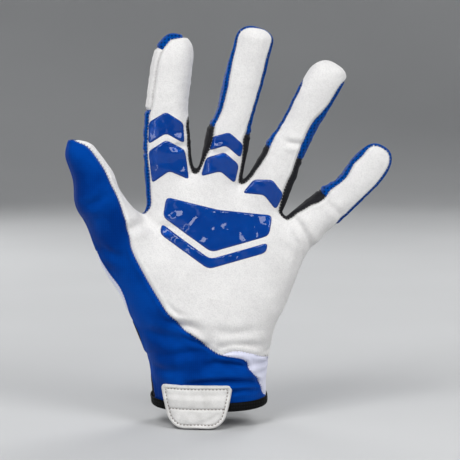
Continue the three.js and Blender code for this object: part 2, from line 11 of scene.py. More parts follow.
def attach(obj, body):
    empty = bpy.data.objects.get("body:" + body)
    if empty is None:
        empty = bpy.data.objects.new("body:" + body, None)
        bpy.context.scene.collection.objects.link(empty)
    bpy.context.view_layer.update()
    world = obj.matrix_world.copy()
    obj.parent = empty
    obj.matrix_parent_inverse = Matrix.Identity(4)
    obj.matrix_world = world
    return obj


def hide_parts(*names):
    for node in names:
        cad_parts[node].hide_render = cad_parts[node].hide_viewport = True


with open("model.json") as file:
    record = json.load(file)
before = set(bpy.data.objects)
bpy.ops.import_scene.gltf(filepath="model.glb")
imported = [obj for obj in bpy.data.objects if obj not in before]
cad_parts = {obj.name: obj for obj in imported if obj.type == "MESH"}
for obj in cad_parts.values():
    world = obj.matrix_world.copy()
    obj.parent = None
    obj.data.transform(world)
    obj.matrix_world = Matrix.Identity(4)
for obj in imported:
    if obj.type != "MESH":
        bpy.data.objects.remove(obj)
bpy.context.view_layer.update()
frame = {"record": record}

# Every length below is in millimetres, in the part's own frame: +Z to the fingertips, -Y the palm side,
# the thumb at -X.
MM = 0.001

# Camera: the photograph's angle, 276 mm of glove across the frame
CAMERA_ELEVATION = 6
CAMERA_DISTANCE = 1100
VIEW_WIDTH = 276
VIEW_CENTRE = (13.2, 0, 104.4)
FLOOR_Z = -11.8

# Size of the mesh, which is finer near the seams and along narrow creases, and what counts as a crumb of it
CELL = 1.25
GRID_LOW = (-90.0, -36.0, -16.0)
GRID_HIGH = (120.0, 32.0, 232.0)
COARSE = 3
NEAR_FACE = 2.4
NEAR_SEAM = 2.6
FINE_CREASE = 1.8
CRUMB = 60
ON_LINE = 0.03
SHORT_LOOP = 12

# The cloth, and how softly palm, fingers and thumb run into each other
CLOTH = 1.3
JOIN = 3.5
THUMB_JOIN = 9
PALM_POWER = 2.35
TUBE_POWER = 2.2
TIP_POWER = 3.2
FINGER_ROOT = 6
SECTIONS = 241


def rows(names, *values):
    """A table as one array for each named column."""
    return {name: np.array(column, float) for name, column in zip(names.split(), zip(*values))}


def spots_on(part, *spots):
    """Places on a part, each a share along it and a share of its half width."""
    return [(part, *spot) for spot in spots]


# The hand, as in the part's source
CUFF_WIDTH = 69
PALM_HEIGHT = 126
PALM_DEPTH = 46
KNUCKLE_WIDTH = 110
KNUCKLE_SLANT = math.radians(26)
KNUCKLE_SHIFT = 11.7
RIM_TILT = math.radians(4)
CUFF_TAPER = 0.04
PALM = rows(
    "at grow slant shift front back",
    (-0.16, 0.02, 0, 0, 0.54, 0.52), (0, 0, 0, 0, 0.52, 0.52), (0.12, 0, 0, 0, 0.52, 0.5),
    (0.24, 0.1, 0, 0, 0.53, 0.47), (0.36, 0.32, 0, -0.09, 0.55, 0.45),
    (0.48, 0.59, 0.12, -0.05, 0.53, 0.43), (0.635, 0.74, 0.31, 0.21, 0.46, 0.41),
    (0.805, 0.72, 0.62, 0.87, 0.37, 0.38), (1, 1, 1, 1, 0.24, 0.26),
)
WEB_HEIGHT = 8.6
WEB_LOW = 3.3
WEB_SPREAD = 34
WEB_SHIFT = 8.8
WEB_ROUND = 9
WEB_STRIP = 5.2

# Fingers: shares of the named sizes, splay in degrees; end is where the tip ends along the finger, and
# round_left and round_right are the lengths over which its corners close
FINGER_LENGTH = 98
FINGER_WIDTH = 24.6
ROOT_DEPTH = 18
FINGER_CURL = 10
FINGER_NAMES = ("index", "middle", "ring", "little")
FINGERS = rows(
    "across length width depth splay bow end round_left round_right",
    (-0.68, 0.81, 1, 0.894, 2, -0.163, 1, 34, 17), (-0.109, 1, 0.943, 0.894, 13.3, -0.057, 1.01, 13, 9),
    (0.363, 0.99, 0.911, 0.854, 26.9, 0, 1.007, 21, 8),
    (0.876, 0.706, 0.862, 0.772, 47.3, 0.081, 1.02, 17, 28),
)
FINGER = rows(
    "at wide deep",
    (0, 0.92, 1), (0.2, 1.12, 1.06), (0.32, 1.15, 1.06), (0.45, 1.09, 1.02), (0.57, 0.98, 0.95),
    (0.75, 1, 0.93), (1, 0.99, 0.78),
)

# How far each side of a finger stands from its middle, as shares of its half width
SIDES = {
    "index": rows(
        "at left right",
        (0, 1.1, 1.3), (0.14, 0.99, 1.25), (0.2, 0.97, 1.12), (0.26, 0.96, 1.05), (0.33, 0.95, 1.03),
        (0.45, 0.97, 1.03), (0.55, 1.01, 1.04), (0.62, 1, 1.05), (0.7, 0.95, 1.06), (0.8, 0.95, 1.05),
        (1.1, 0.95, 1.05),
    ),
    "middle": rows(
        "at left right",
        (0, 1.35, 1.1), (0.15, 1.27, 1.06), (0.22, 1.12, 0.99), (0.27, 1.03, 0.96), (0.35, 1.03, 0.97),
        (0.44, 1.08, 1), (0.49, 1.01, 0.98), (0.55, 0.94, 1.02), (0.66, 0.96, 1.03), (0.82, 0.96, 1.03),
        (0.89, 0.91, 1), (1.1, 0.95, 1),
    ),
    "ring": rows(
        "at left right",
        (0, 1.5, 1.1), (0.15, 1.45, 1.1), (0.22, 1.3, 1.09), (0.27, 1.13, 1.05), (0.32, 1.06, 0.99),
        (0.42, 1.06, 0.93), (0.47, 1.11, 0.89), (0.52, 1.15, 0.91), (0.58, 1.05, 0.93), (0.69, 1.02, 0.89),
        (0.8, 1.03, 0.98), (0.9, 1, 1), (1.1, 0.98, 1),
    ),
    "little": rows(
        "at left right",
        (0, 1.1, 1.1), (0.25, 1.03, 0.92), (0.35, 1.02, 0.83), (0.45, 1.04, 0.93), (0.53, 1.09, 1),
        (0.58, 1, 1.02), (0.64, 0.93, 1), (0.71, 1, 0.98), (0.79, 1.11, 0.97), (0.88, 1.12, 0.97),
        (1.1, 1.1, 0.97),
    ),
}

# How wide a strip of the back shows beside each finger, seen from the palm; below zero the palm's suede wraps
# that far round to the back
STRIPS = {
    "index": rows(
        "at left right",
        (0.1, 2.2, 1), (0.2, 2.2, 1.3), (0.46, 2.4, 0.8), (0.5, 2.4, -0.5), (0.56, 3.3, -2),
        (0.75, 3.8, -2), (0.88, 3.2, -2), (1.1, 2, -2),
    ),
    "middle": rows(
        "at left right",
        (0.1, 1, 1), (0.25, 1.2, 1.4), (0.29, 1.9, 1.5), (0.34, 3.4, 1.9), (0.39, 4.6, 2.8), (0.44, 4, 3.6),
        (0.49, 2.6, 2.2), (0.58, 2.7, 1.4), (0.67, 3.2, 1.2), (0.76, 2.4, 1.1), (0.87, 1.3, 1),
        (0.94, 0.7, 0.7), (0.98, 0.5, 0.3), (1.1, 0.4, -0.8),
    ),
    "ring": rows(
        "at left right",
        (0.1, 1, 0.4), (0.18, 1, 1.2), (0.25, 1.2, 3.2), (0.33, 1.8, 3.9), (0.43, 2.6, 3.2),
        (0.5, 2.2, 3.5), (0.56, 0.9, 4.4), (0.64, 0.8, 4.5), (0.7, 0.8, 4.1), (0.76, 0.8, 2.6),
        (0.82, 0.7, 1.8), (0.87, -0.5, 1.6), (0.92, -2, 1.1), (0.97, -3, -0.5), (1.1, -3, -3),
    ),
    "little": rows(
        "at left right",
        (0.1, 1, -2), (0.22, 1.5, -2), (0.3, 2.4, -2), (0.38, 3.4, -1), (0.43, 4.8, 0.7), (0.5, 5, 1),
        (0.55, 3.2, 1), (0.61, 2.5, 1), (0.7, 3, 1), (0.78, 2.3, 1), (0.87, 2.5, 1), (0.92, 1.4, 0.7),
        (0.96, 0.7, 0.45), (1.1, 0.5, 0.3),
    ),
}

# Thumb: both ends of each section, as shares of its length (up) and width (sideways)
THUMB_LENGTH = 133
THUMB_WIDTH = 27
THUMB_DEPTH = 25
THUMB_SPLAY = math.radians(-26.2)
THUMB_ROOT = (-22, 36)
THUMB_FORWARD = 18
THUMB_REACH = 42
THUMB_TIP = (2, 9)
THUMB_START = 3
THUMB = rows(
    "at left_up left right_up right deep",
    (0, 0.006, -0.48, 0.001, 0.5, 1.1), (0.125, 0.2, -0.46, 0.156, 0.95, 1.5),
    (0.25, 0.327, -0.55, 0.297, 1.05, 1.6), (0.375, 0.447, -0.61, 0.425, 0.95, 1.5),
    (0.5, 0.652, -0.485, 0.564, 0.7, 1.2), (0.625, 0.761, -0.467, 0.716, 0.535, 1),
    (0.75, 0.862, -0.274, 0.823, 0.575, 0.88), (0.875, 0.968, -0.17, 0.955, 0.455, 0.68),
    (1, 1.032, 0.04, 1, 0.32, 0.38),
)

# Seams
BACK_SEAM = 6.5
INNER_SEAM = -2
SEAM_SHIFT = 16
STRIP_TURNS = (38, 50)
FINGER_SEAM_FROM = (0.33, 0.14)
BACK_CUFF_HEIGHT = 51
FINGER_BACK_FROM = 0.28
THUMB_BACK_FROM = 0.53
# The strip that shows beside the wrist and the ball of the thumb, by height
LEFT_STRIP = rows(
    "at wide",
    (0, 1.7), (8, 1.5), (16, 0.6), (24, 0.2), (34, 0.25), (43, 1.1), (54, 0.6), (62, 1.8), (72, 2.8),
    (84, 1.8), (96, 0.4), (104, 0.1), (125, 0), (160, -0.3),
)
MAIN_SEAM = spots_on(
    "thumb",
    (1.05, -0.9), (0.99, 0.3), (0.88, 0.8), (0.77, 0.78), (0.68, 0.8), (0.6, 0.8), (0.52, 0.5), (0.45, 0.24),
)
MAIN_SEAM += spots_on(
    "palm",
    (0.68, -1), (0.6, -0.8), (0.51, -0.62), (0.43, -0.46), (0.355, -0.22), (0.3, -0.02), (0.26, 0.2),
    (0.235, 0.55),
)
CUFF_SEAM = spots_on("palm", (0.22, 0.64), (0.18, 0.71), (0.13, 0.85), (0.04, 0.99))
HEEL_SEAM = spots_on("palm", (0.255, 0.15), (0.275, 0.44), (0.26, 0.7), (0.2, 1.3))
TIP_CORNER = spots_on("index", (0.938, -0.8), (0.95, -0.4), (0.975, 0.1), (1, 0.62))
GUSSET_STEPS = (0.36, 0.2, 0.08)
GUSSETS = (
    ("index", 0.52, "middle", 0.47),
    ("middle", 0.47, "ring", 0.47),
    ("ring", 0.49, "little", 0.49),
)
# The white strip down the outside of the index finger, whose top runs out in a slant
INDEX_STRIP = (
    (0.53, -0.5), (0.89, -0.5), (0.9, -0.8), (0.885, -0.94), (0.86, -1.02), (0.83, -1.3), (0.53, -1.3),
)
THUMB_PATCH = ("thumb", 0.13, 0.42, 0.1, -1.5)
FINGER_BACK = (FINGER_BACK_FROM, 1.15, -1.25, 1.25)
THUMB_BACK = ("thumb", THUMB_BACK_FROM, 1.12, 1.12, -1.6)
FAR = 260


def curve(table, name, at):
    """A column of a table as a smooth curve through its rows."""
    places, values = table["at"], table[name]
    k = np.clip(np.searchsorted(places, at, side="right") - 1, 0, len(places) - 2)
    padded_places = np.concatenate([places[:1], places, places[-1:]])
    padded = np.concatenate([values[:1], values, values[-1:]])
    slopes = (padded[2:] - padded[:-2]) / (padded_places[2:] - padded_places[:-2])
    span = places[k + 1] - places[k]
    t = np.clip((at - places[k]) / span, 0, 1)
    a, b = values[k], values[k + 1]
    m, n = slopes[k] * span, slopes[k + 1] * span
    start = (2 * t**3 - 3 * t**2 + 1) * a + (t**3 - 2 * t**2 + t) * m
    return start + (3 * t**2 - 2 * t**3) * b + (t**3 - t**2) * n


def smooth(value, low, high):
    t = np.clip((value - low) / (high - low), 0, 1)
    return t * t * (3 - 2 * t)


def mix(a, b, t):
    return a + (b - a) * t


def on_knuckles(share):
    s = share * KNUCKLE_WIDTH / 2
    return KNUCKLE_SHIFT + s * math.cos(KNUCKLE_SLANT), PALM_HEIGHT - s * math.sin(KNUCKLE_SLANT)


INDEX_SIDE = on_knuckles(-1)[0]


def beyond_knuckles(x, z):
    return (x - KNUCKLE_SHIFT) * math.sin(KNUCKLE_SLANT) + (z - PALM_HEIGHT) * math.cos(KNUCKLE_SLANT)


def along_knuckles(x, z):
    return (x - KNUCKLE_SHIFT) * math.cos(KNUCKLE_SLANT) - (z - PALM_HEIGHT) * math.sin(KNUCKLE_SLANT)


def middle_depth(x, z):
    """The fingers curl towards the palm, and the thumb comes forward."""
    curl = np.maximum(0, beyond_knuckles(x, z)) / FINGER_LENGTH
    return -FINGER_CURL * curl**2 - THUMB_FORWARD * smooth(INDEX_SIDE - x, 0, THUMB_REACH)


class Part:
    """A tube through sections that each run from a left to a right end, seen from the palm."""

    def __init__(self, reach, low, high, left, right, front, back, power, end=1, tip=(1, 1), root=0):
        self.at = np.linspace(low, high, SECTIONS)
        self.reach = reach
        self.left = np.stack(left(self.at), axis=-1)
        self.right = np.stack(right(self.at), axis=-1)
        self.front = front(self.at)
        self.back = back(self.at)
        self.power = power
        self.end = end * reach
        self.tip = tip
        self.root = root

    def read(self, values, at):
        if values.ndim == 1:
            return np.interp(at, self.at, values)
        return np.stack([np.interp(at, self.at, values[:, k]) for k in (0, 1)], axis=-1)

    def place(self, at, across):
        """The point (x, z) on a section, at a share of its half width."""
        left, right = self.read(self.left, at), self.read(self.right, at)
        return mix(left, right, ((1 + np.asarray(across)) / 2)[..., None])

    def spot(self, at, across):
        """One such point."""
        return tuple(self.place(np.array([at]), np.array([across]))[0])

    def locate(self, x, z):
        """The section at a point, how far off its middle, its half width, its middle, and what is past it."""
        start, end = self.place(self.at[[0, -1]], np.zeros(2))
        axis = end - start
        point = np.stack([x, z], axis=-1)
        at = self.at[0] + (self.at[-1] - self.at[0]) * np.clip(((point - start) @ axis) / (axis @ axis), 0, 1)
        for _ in range(10):
            left, right = self.read(self.left, at), self.read(self.right, at)
            side = right - left
            side /= np.linalg.norm(side, axis=-1, keepdims=True)
            away = point - left
            ahead = away[..., 1] * side[..., 0] - away[..., 0] * side[..., 1]
            at = np.clip(at + ahead / self.reach, self.at[0], self.at[-1])
        middle = (left + right) / 2
        off = ((point - middle) * side).sum(-1)
        half = np.linalg.norm(right - left, axis=-1) / 2
        return at, off, half, middle, ahead

    def closing(self, at, share, ahead, x, z):
        """How far a point is into a closing end, that end's length, and the power of its curve."""
        length = mix(self.tip[0], self.tip[1], smooth(share, -0.6, 0.6))
        past = np.maximum(0, at * self.reach + ahead - self.end + length) * (at > 0.3)
        past = past + np.maximum(0, self.root - at * self.reach - ahead) * (at <= 0.3)
        return past, length, TIP_POWER

    def distance(self, x, y, z):
        at, off, half, middle, ahead = self.locate(x, z)
        depth = y - middle_depth(middle[..., 0], middle[..., 1])
        reach = np.where(depth < 0, self.read(self.front, at), self.read(self.back, at))
        ring = (np.abs(off) / half) ** self.power + (np.abs(depth) / reach) ** self.power
        past, length, power = self.closing(at, off / half, ahead, x, z)
        ring = (ring + (past / length) ** power) ** (1 / self.power)
        ring = np.maximum(ring, 1e-4)
        return np.sqrt(off**2 + depth**2 + past**2) * (1 - 1 / ring)


class Palm(Part):
    """The palm ends in a domed web between the fingers."""

    def closing(self, at, share, ahead, x, z):
        along = (along_knuckles(x, z) - WEB_SHIFT) / WEB_SPREAD
        web = np.maximum(WEB_HEIGHT - (WEB_HEIGHT - WEB_LOW) * along**2, 0)
        past = np.maximum(0, beyond_knuckles(x, z) - web + WEB_ROUND) * (at > 0.7)
        return past, WEB_ROUND, self.power


def palm_part():
    read = lambda name: lambda at: curve(PALM, name, at)
    half = lambda at: mix(CUFF_WIDTH, KNUCKLE_WIDTH, curve(PALM, "grow", at)) / 2
    slant = lambda at: KNUCKLE_SLANT * curve(PALM, "slant", at)
    narrow = lambda sign, at: 1 - (CUFF_TAPER if sign < 0 else 0) * (1 - smooth(at, 0.01, 0.07))
    end = lambda sign: lambda at: (
        KNUCKLE_SHIFT * curve(PALM, "shift", at) + sign * half(at) * np.cos(slant(at)) * narrow(sign, at),
        PALM_HEIGHT * at - sign * half(at) * np.sin(slant(at)),
    )
    front = lambda at: PALM_DEPTH * read("front")(at)
    back = lambda at: PALM_DEPTH * read("back")(at)
    return Palm(PALM_HEIGHT * 1.25, PALM["at"][0], 1, end(-1), end(1), front, back, PALM_POWER)


def finger_part(k):
    f = {name: column[k] for name, column in FINGERS.items()}
    sides = SIDES[FINGER_NAMES[k]]
    angle = math.radians(f["splay"])
    reach = f["length"] * FINGER_LENGTH + ROOT_DEPTH
    bow = f["bow"] * FINGER_WIDTH
    x0, z0 = on_knuckles(f["across"])

    def end(sign):
        def at_end(at):
            up = at * reach - ROOT_DEPTH
            side = bow * 4 * at * (1 - at)
            lean = angle + np.arctan(bow * 4 * (1 - 2 * at) / reach)
            half = f["width"] * FINGER_WIDTH * curve(FINGER, "wide", at) / 2
            half = half * curve(sides, "left" if sign < 0 else "right", at)
            x = x0 + up * math.sin(angle) + side * math.cos(angle) + sign * half * np.cos(lean)
            z = z0 + up * math.cos(angle) - side * math.sin(angle) - sign * half * np.sin(lean)
            return x, z

        return at_end

    deep = lambda at: f["depth"] * FINGER_WIDTH * curve(FINGER, "deep", at) / 2
    tip = (f["round_left"], f["round_right"])
    return Part(reach, 0, 1.1, end(-1), end(1), deep, deep, TUBE_POWER, f["end"], tip, FINGER_ROOT)


def thumb_part():
    def end(up, side):
        def at_end(at):
            a, b = curve(THUMB, up, at) * THUMB_LENGTH, curve(THUMB, side, at) * THUMB_WIDTH
            x = THUMB_ROOT[0] + a * math.sin(THUMB_SPLAY) + b * math.cos(THUMB_SPLAY)
            z = THUMB_ROOT[1] + a * math.cos(THUMB_SPLAY) - b * math.sin(THUMB_SPLAY)
            return x, z

        return at_end

    deep = lambda at: THUMB_DEPTH * curve(THUMB, "deep", at) / 2
    reach = THUMB_LENGTH * 1.15
    left, right = end("left_up", "left"), end("right_up", "right")
    return Part(reach, 0, 1, left, right, deep, deep, TUBE_POWER, 1, THUMB_TIP, THUMB_START)


parts = {"palm": palm_part(), "thumb": thumb_part()}
for k, name in enumerate(FINGER_NAMES):
    parts[name] = finger_part(k)


def joined(a, b, reach):
    h = np.maximum(reach - np.abs(a - b), 0) / reach
    return np.minimum(a, b) - h * h * reach / 4


def glove_distance(p):
    """Signed distance to the glove's outer face, with soft joins between palm, thumb and fingers."""
    x, y, z = p[:, 0], p[:, 1], p[:, 2]
    total = parts["palm"].distance(x, y, z)
    total = joined(total, parts["thumb"].distance(x, y, z), THUMB_JOIN)
    for name in FINGER_NAMES:
        total = joined(total, parts[name].distance(x, y, z), JOIN)
    return total


def gradient(p, step=0.25):
    out = np.empty_like(p)
    for axis in range(3):
        shift = np.zeros(3)
        shift[axis] = step
        out[:, axis] = (glove_distance(p + shift) - glove_distance(p - shift)) / (2 * step)
    return out


def onto_surface(p, rounds=3):
    for _ in range(rounds):
        g = gradient(p)
        g /= np.maximum((g**2).sum(1), 0.04)[:, None]
        step = glove_distance(p)[:, None] * g
        length = np.linalg.norm(step, axis=1, keepdims=True)
        p = p - step * np.minimum(1, 2 / np.maximum(length, 1e-9))
    return p


def surface_mesh():
    """The whole outer face as quads, one vertex for each grid cell that it passes through."""
    low = np.array(GRID_LOW)
    count = np.ceil((np.array(GRID_HIGH) - low) / CELL).astype(int) + 1
    grid = [low[a] + CELL * np.arange(count[a]) for a in range(3)]
    rough = [g[::COARSE] for g in grid]
    points = np.stack(np.meshgrid(*rough, indexing="ij"), axis=-1)
    shape = points.shape[:3]
    value = glove_distance(points.reshape(-1, 3)).reshape(shape)
    field = value
    for axis in range(3):
        field = np.repeat(field, COARSE, axis)
    field = field[: count[0], : count[1], : count[2]].copy()
    i, j, k = np.nonzero(np.abs(field) < NEAR_FACE * COARSE * CELL)
    field[i, j, k] = glove_distance(np.stack([grid[0][i], grid[1][j], grid[2][k]], axis=-1))

    inside = field < 0
    cut = [slice(None, -1), slice(1, None)]
    filled = sum(inside[cut[a], cut[b], cut[c]].astype(np.int8) for a, b, c in np.ndindex(2, 2, 2))
    active = (filled > 0) & (filled < 8)
    index = np.full(active.shape, -1)
    index[active] = np.arange(active.sum())
    cells = np.argwhere(active)
    total = np.zeros((len(cells), 3))
    hits = np.zeros(len(cells))
    for axis in range(3):
        others = [a for a in range(3) if a != axis]
        for da in (0, 1):
            for db in (0, 1):
                start = cells.copy()
                start[:, others[0]] += da
                start[:, others[1]] += db
                stop = start.copy()
                stop[:, axis] += 1
                a, b = field[tuple(start.T)], field[tuple(stop.T)]
                cross = (a < 0) != (b < 0)
                t = np.where(cross, a / np.where(cross, a - b, 1), 0)
                spot = start.astype(float)
                spot[:, axis] += t
                total += spot * cross[:, None]
                hits += cross
    vertices = low + CELL * total / hits[:, None]

    quads = []
    for axis in range(3):
        b, c = (axis + 1) % 3, (axis + 2) % 3
        start = inside.take(range(inside.shape[axis] - 1), axis)
        stop = inside.take(range(1, inside.shape[axis]), axis)
        edges = np.argwhere(start != stop)
        keep = (edges[:, b] > 0) & (edges[:, c] > 0)
        keep &= (edges[:, b] < index.shape[b]) & (edges[:, c] < index.shape[c])
        edges = edges[keep]
        around = []
        for db, dc in ((1, 1), (0, 1), (0, 0), (1, 0)):
            cell = edges.copy()
            cell[:, b] -= db
            cell[:, c] -= dc
            around.append(index[tuple(cell.T)])
        quad = np.stack(around, axis=1)
        outward = inside[tuple(edges.T)]
        quads.append(np.where(outward[:, None], quad, quad[:, ::-1]))
    quads = np.concatenate(quads)

    for _ in range(3):
        vertices = onto_surface(relaxed(vertices, quads), 1)
    return onto_surface(vertices, 2), quads


def relaxed(vertices, faces, share=0.5):
    total = np.zeros_like(vertices)
    hits = np.zeros(len(vertices))
    for k in range(faces.shape[1]):
        a, b = faces[:, k], faces[:, (k + 1) % faces.shape[1]]
        for c in range(3):
            ahead = np.bincount(a, vertices[b, c], len(vertices))
            total[:, c] += ahead + np.bincount(b, vertices[a, c], len(vertices))
        hits += np.bincount(a, minlength=len(vertices)) + np.bincount(b, minlength=len(vertices))
    return mix(vertices, total / np.maximum(hits, 1)[:, None], share)


def triangles_of(vertices, quads):
    a, b, c, d = (vertices[quads[:, k]] for k in range(4))
    short = np.linalg.norm(a - c, axis=1) < np.linalg.norm(b - d, axis=1)
    first = np.where(short[:, None], quads[:, [0, 1, 2]], quads[:, [0, 1, 3]])
    second = np.where(short[:, None], quads[:, [0, 2, 3]], quads[:, [1, 2, 3]])
    return np.concatenate([first, second])


# How a triangle is cut: the marks of its edges or corners, and then the new triangles, which name its
# corners by 0 to 2 and the cuts on its edges by 3 to 5
SPLITS = (
    ((1, 0, 0), (0, 3, 2), (3, 1, 2)),
    ((1, 1, 0), (3, 1, 4), (0, 3, 4), (0, 4, 2)),
)
FULL_SPLIT = ((3, 4, 5), (0, 3, 5), (1, 4, 3), (2, 5, 4))
CLIPS = (
    ((-1, 1, 1), (0, 3, 5)),
    ((-1, -1, 1), (0, 1, 4), (0, 4, 5)),
    ((-1, 1, 0), (0, 3, 2)),
    ((-1, 0, 1), (0, 1, 5)),
)


def recut(corners, middles, marks, cases):
    """The new triangles of those that match a case, whichever way they are turned."""
    out = []
    for turn in range(3):
        c, m, k = (np.roll(a, -turn, axis=1) for a in (corners, middles, marks))
        both = np.concatenate([c, m], axis=1)
        for case, *pieces in cases:
            chosen = both[(k == case).all(1)]
            out += [chosen[:, piece] for piece in pieces]
    return out


def refined(vertices, triangles, chosen):
    """Splits each chosen triangle in four, and its neighbours so that no edge is left hanging."""
    edges = np.sort(triangles[:, [[0, 1], [1, 2], [2, 0]]], axis=2)
    key = edges[..., 0] * len(vertices) + edges[..., 1]
    marked = np.unique(key[chosen])
    number = len(vertices) + np.arange(len(marked))
    spot = np.searchsorted(marked, key)
    spot = np.clip(spot, 0, len(marked) - 1)
    cut = marked[spot] == key
    middle = np.where(cut, number[spot], -1)
    ends = np.stack([marked // len(vertices), marked % len(vertices)], axis=1)
    added = onto_surface(vertices[ends].mean(axis=1), 2)
    every = np.concatenate([triangles, middle], axis=1)[cut.all(1)]
    out = [triangles[~cut.any(1)]] + recut(triangles, middle, cut, SPLITS)
    out += [every[:, piece] for piece in FULL_SPLIT]
    return np.concatenate([vertices, added]), np.concatenate(out)


def smooth_line(line, count=5):
    """A curve through the given points."""
    points = np.array(line, float)
    padded = np.concatenate([2 * points[:1] - points[1:2], points, 2 * points[-1:] - points[-2:-1]])
    out = []
    for k in range(len(points) - 1):
        p0, p1, p2, p3 = padded[k : k + 4]
        for t in np.arange(count) / count:
            bend = (2 * p0 - 5 * p1 + 4 * p2 - p3) * t**2 + (3 * p1 - p0 - 3 * p2 + p3) * t**3
            out.append(0.5 * (2 * p1 + (p2 - p0) * t + bend))
    return np.array(out + [points[-1]])


def seam_line(table, count):
    """A smooth line through places given as part, share along it and share of its half width."""
    return [tuple(p) for p in smooth_line([parts[on].spot(at, across) for on, at, across in table], count)]


def outline_distance(outline, x, z):
    """Signed distance to a closed outline in x and z, negative inside."""
    points = np.array(outline)
    best = np.full(len(x), np.inf)
    inside = np.zeros(len(x), bool)
    for (ax, az), (bx, bz) in zip(points, np.roll(points, -1, axis=0)):
        dx, dz = bx - ax, bz - az
        t = np.clip(((x - ax) * dx + (z - az) * dz) / max(dx * dx + dz * dz, 1e-12), 0, 1)
        best = np.minimum(best, (x - ax - t * dx) ** 2 + (z - az - t * dz) ** 2)
        crosses = (az > z) != (bz > z)
        inside ^= crosses & (x < ax + dx * (z - az) / (dz if dz else 1e-12))
    return np.where(inside, -1, 1) * np.sqrt(best)


def band_outline(name, start, end, inner, outer):
    """The outline of a stretch of a part, between two shares of its half width."""
    part = parts[name]
    steps = np.clip(np.linspace(start, end, 5), part.at[0], None)
    return [part.spot(at, inner) for at in steps] + [part.spot(at, outer) for at in steps[::-1]]


def gusset_outline(left, left_top, right, right_top):
    left, right = parts[left], parts[right]
    left_side = [left.spot(at, 0.5) for at in (left_top, *GUSSET_STEPS)]
    right_side = [right.spot(at, -0.5) for at in (*GUSSET_STEPS[::-1], right_top)]
    return left_side + right_side + [right.spot(right_top, -1.25), left.spot(left_top, 1.25)]


main_line = seam_line(MAIN_SEAM, 6)
cuff_line = seam_line(CUFF_SEAM, 4)
BLUE_OUTLINE = main_line + cuff_line + [(cuff_line[-1][0], -FAR), (-FAR, -FAR), (-FAR, main_line[0][1])]
SIDE_OUTLINE = seam_line(HEEL_SEAM, 4) + [(FAR, -FAR), (0, -FAR), (0, HEEL_SEAM[0][1] * PALM_HEIGHT)]
CORNER_OUTLINE = seam_line(TIP_CORNER, 4) + band_outline("index", 0.9, 1.09, 1.2, -1.6)[4:]
STRIP_OUTLINE = [parts["index"].spot(*corner) for corner in INDEX_STRIP]


def right_of_thumb_line(x, z):
    share = np.array([0.1, 0.35, 0.5, 0.7, 0.85, 1])
    line = np.concatenate([[[0, 0]], parts["thumb"].place(share, np.full(6, 0.1))])
    return x - np.interp(z, line[:, 1], line[:, 0])


def seam_on(part, x, z, strip_at):
    """Depth of a seam that leaves a strip of a given width beside a part, and the place across the part."""
    at, off, half, middle, _ = part.locate(x, z)
    share = off / half
    strip = strip_at(at, share)
    front = part.read(part.front, at)
    edge = np.clip(1 - strip / half, 0.2, 1)
    forward = front * (1 - edge**part.power) ** (1 / part.power)
    return middle_depth(middle[:, 0], middle[:, 1]) - np.where(strip > 0, forward, strip), share


def strip_beside(table):
    """The width of a finger's strip, which changes over from its left to its right side."""
    side = lambda name, at: curve(table, name, at)
    return lambda at, share: mix(side("left", at), side("right", at), smooth(share, -0.4, 0.4))


def side_seam(x, z):
    """Depth of the seam between the front and the back panels."""
    strip = lambda at, share: curve(LEFT_STRIP, "wide", z)
    on_thumb, _ = seam_on(parts["thumb"], x, z, strip)
    on_wrist, _ = seam_on(parts["palm"], x, z, strip)
    outer = mix(on_wrist, on_thumb, smooth(z, *STRIP_TURNS))
    inner = middle_depth(x, z) - INNER_SEAM
    base = mix(outer, inner, smooth(right_of_thumb_line(x, z), -SEAM_SHIFT / 2, SEAM_SHIFT / 2))
    start = -PALM_HEIGHT * mix(*FINGER_SEAM_FROM, np.clip((x - INDEX_SIDE) / KNUCKLE_WIDTH, 0, 1))
    on_fingers = smooth(beyond_knuckles(x, z), start, start + SEAM_SHIFT)
    on_fingers = on_fingers * smooth(x, INDEX_SIDE - 11, INDEX_SIDE - 3)
    total = np.zeros(len(x))
    weight = np.full(len(x), 1e-9)
    least = np.full(len(x), 9.0)
    shares = {}
    for name in FINGER_NAMES:
        seam, share = seam_on(parts[name], x, z, strip_beside(STRIPS[name]))
        w = np.exp(-(share**2) * 3)
        total += w * seam
        weight += w
        least = np.minimum(least, np.abs(share))
        shares[name] = share
    between = (shares["index"] > 0) & (shares["little"] < 0)
    in_web = between * smooth(least, 0.96, 1.08) * (1 - smooth(beyond_knuckles(x, z), 10, 18))
    seam = mix(total / weight, middle_depth(x, z) - WEB_STRIP, in_web)
    return mix(base, seam, on_fingers)


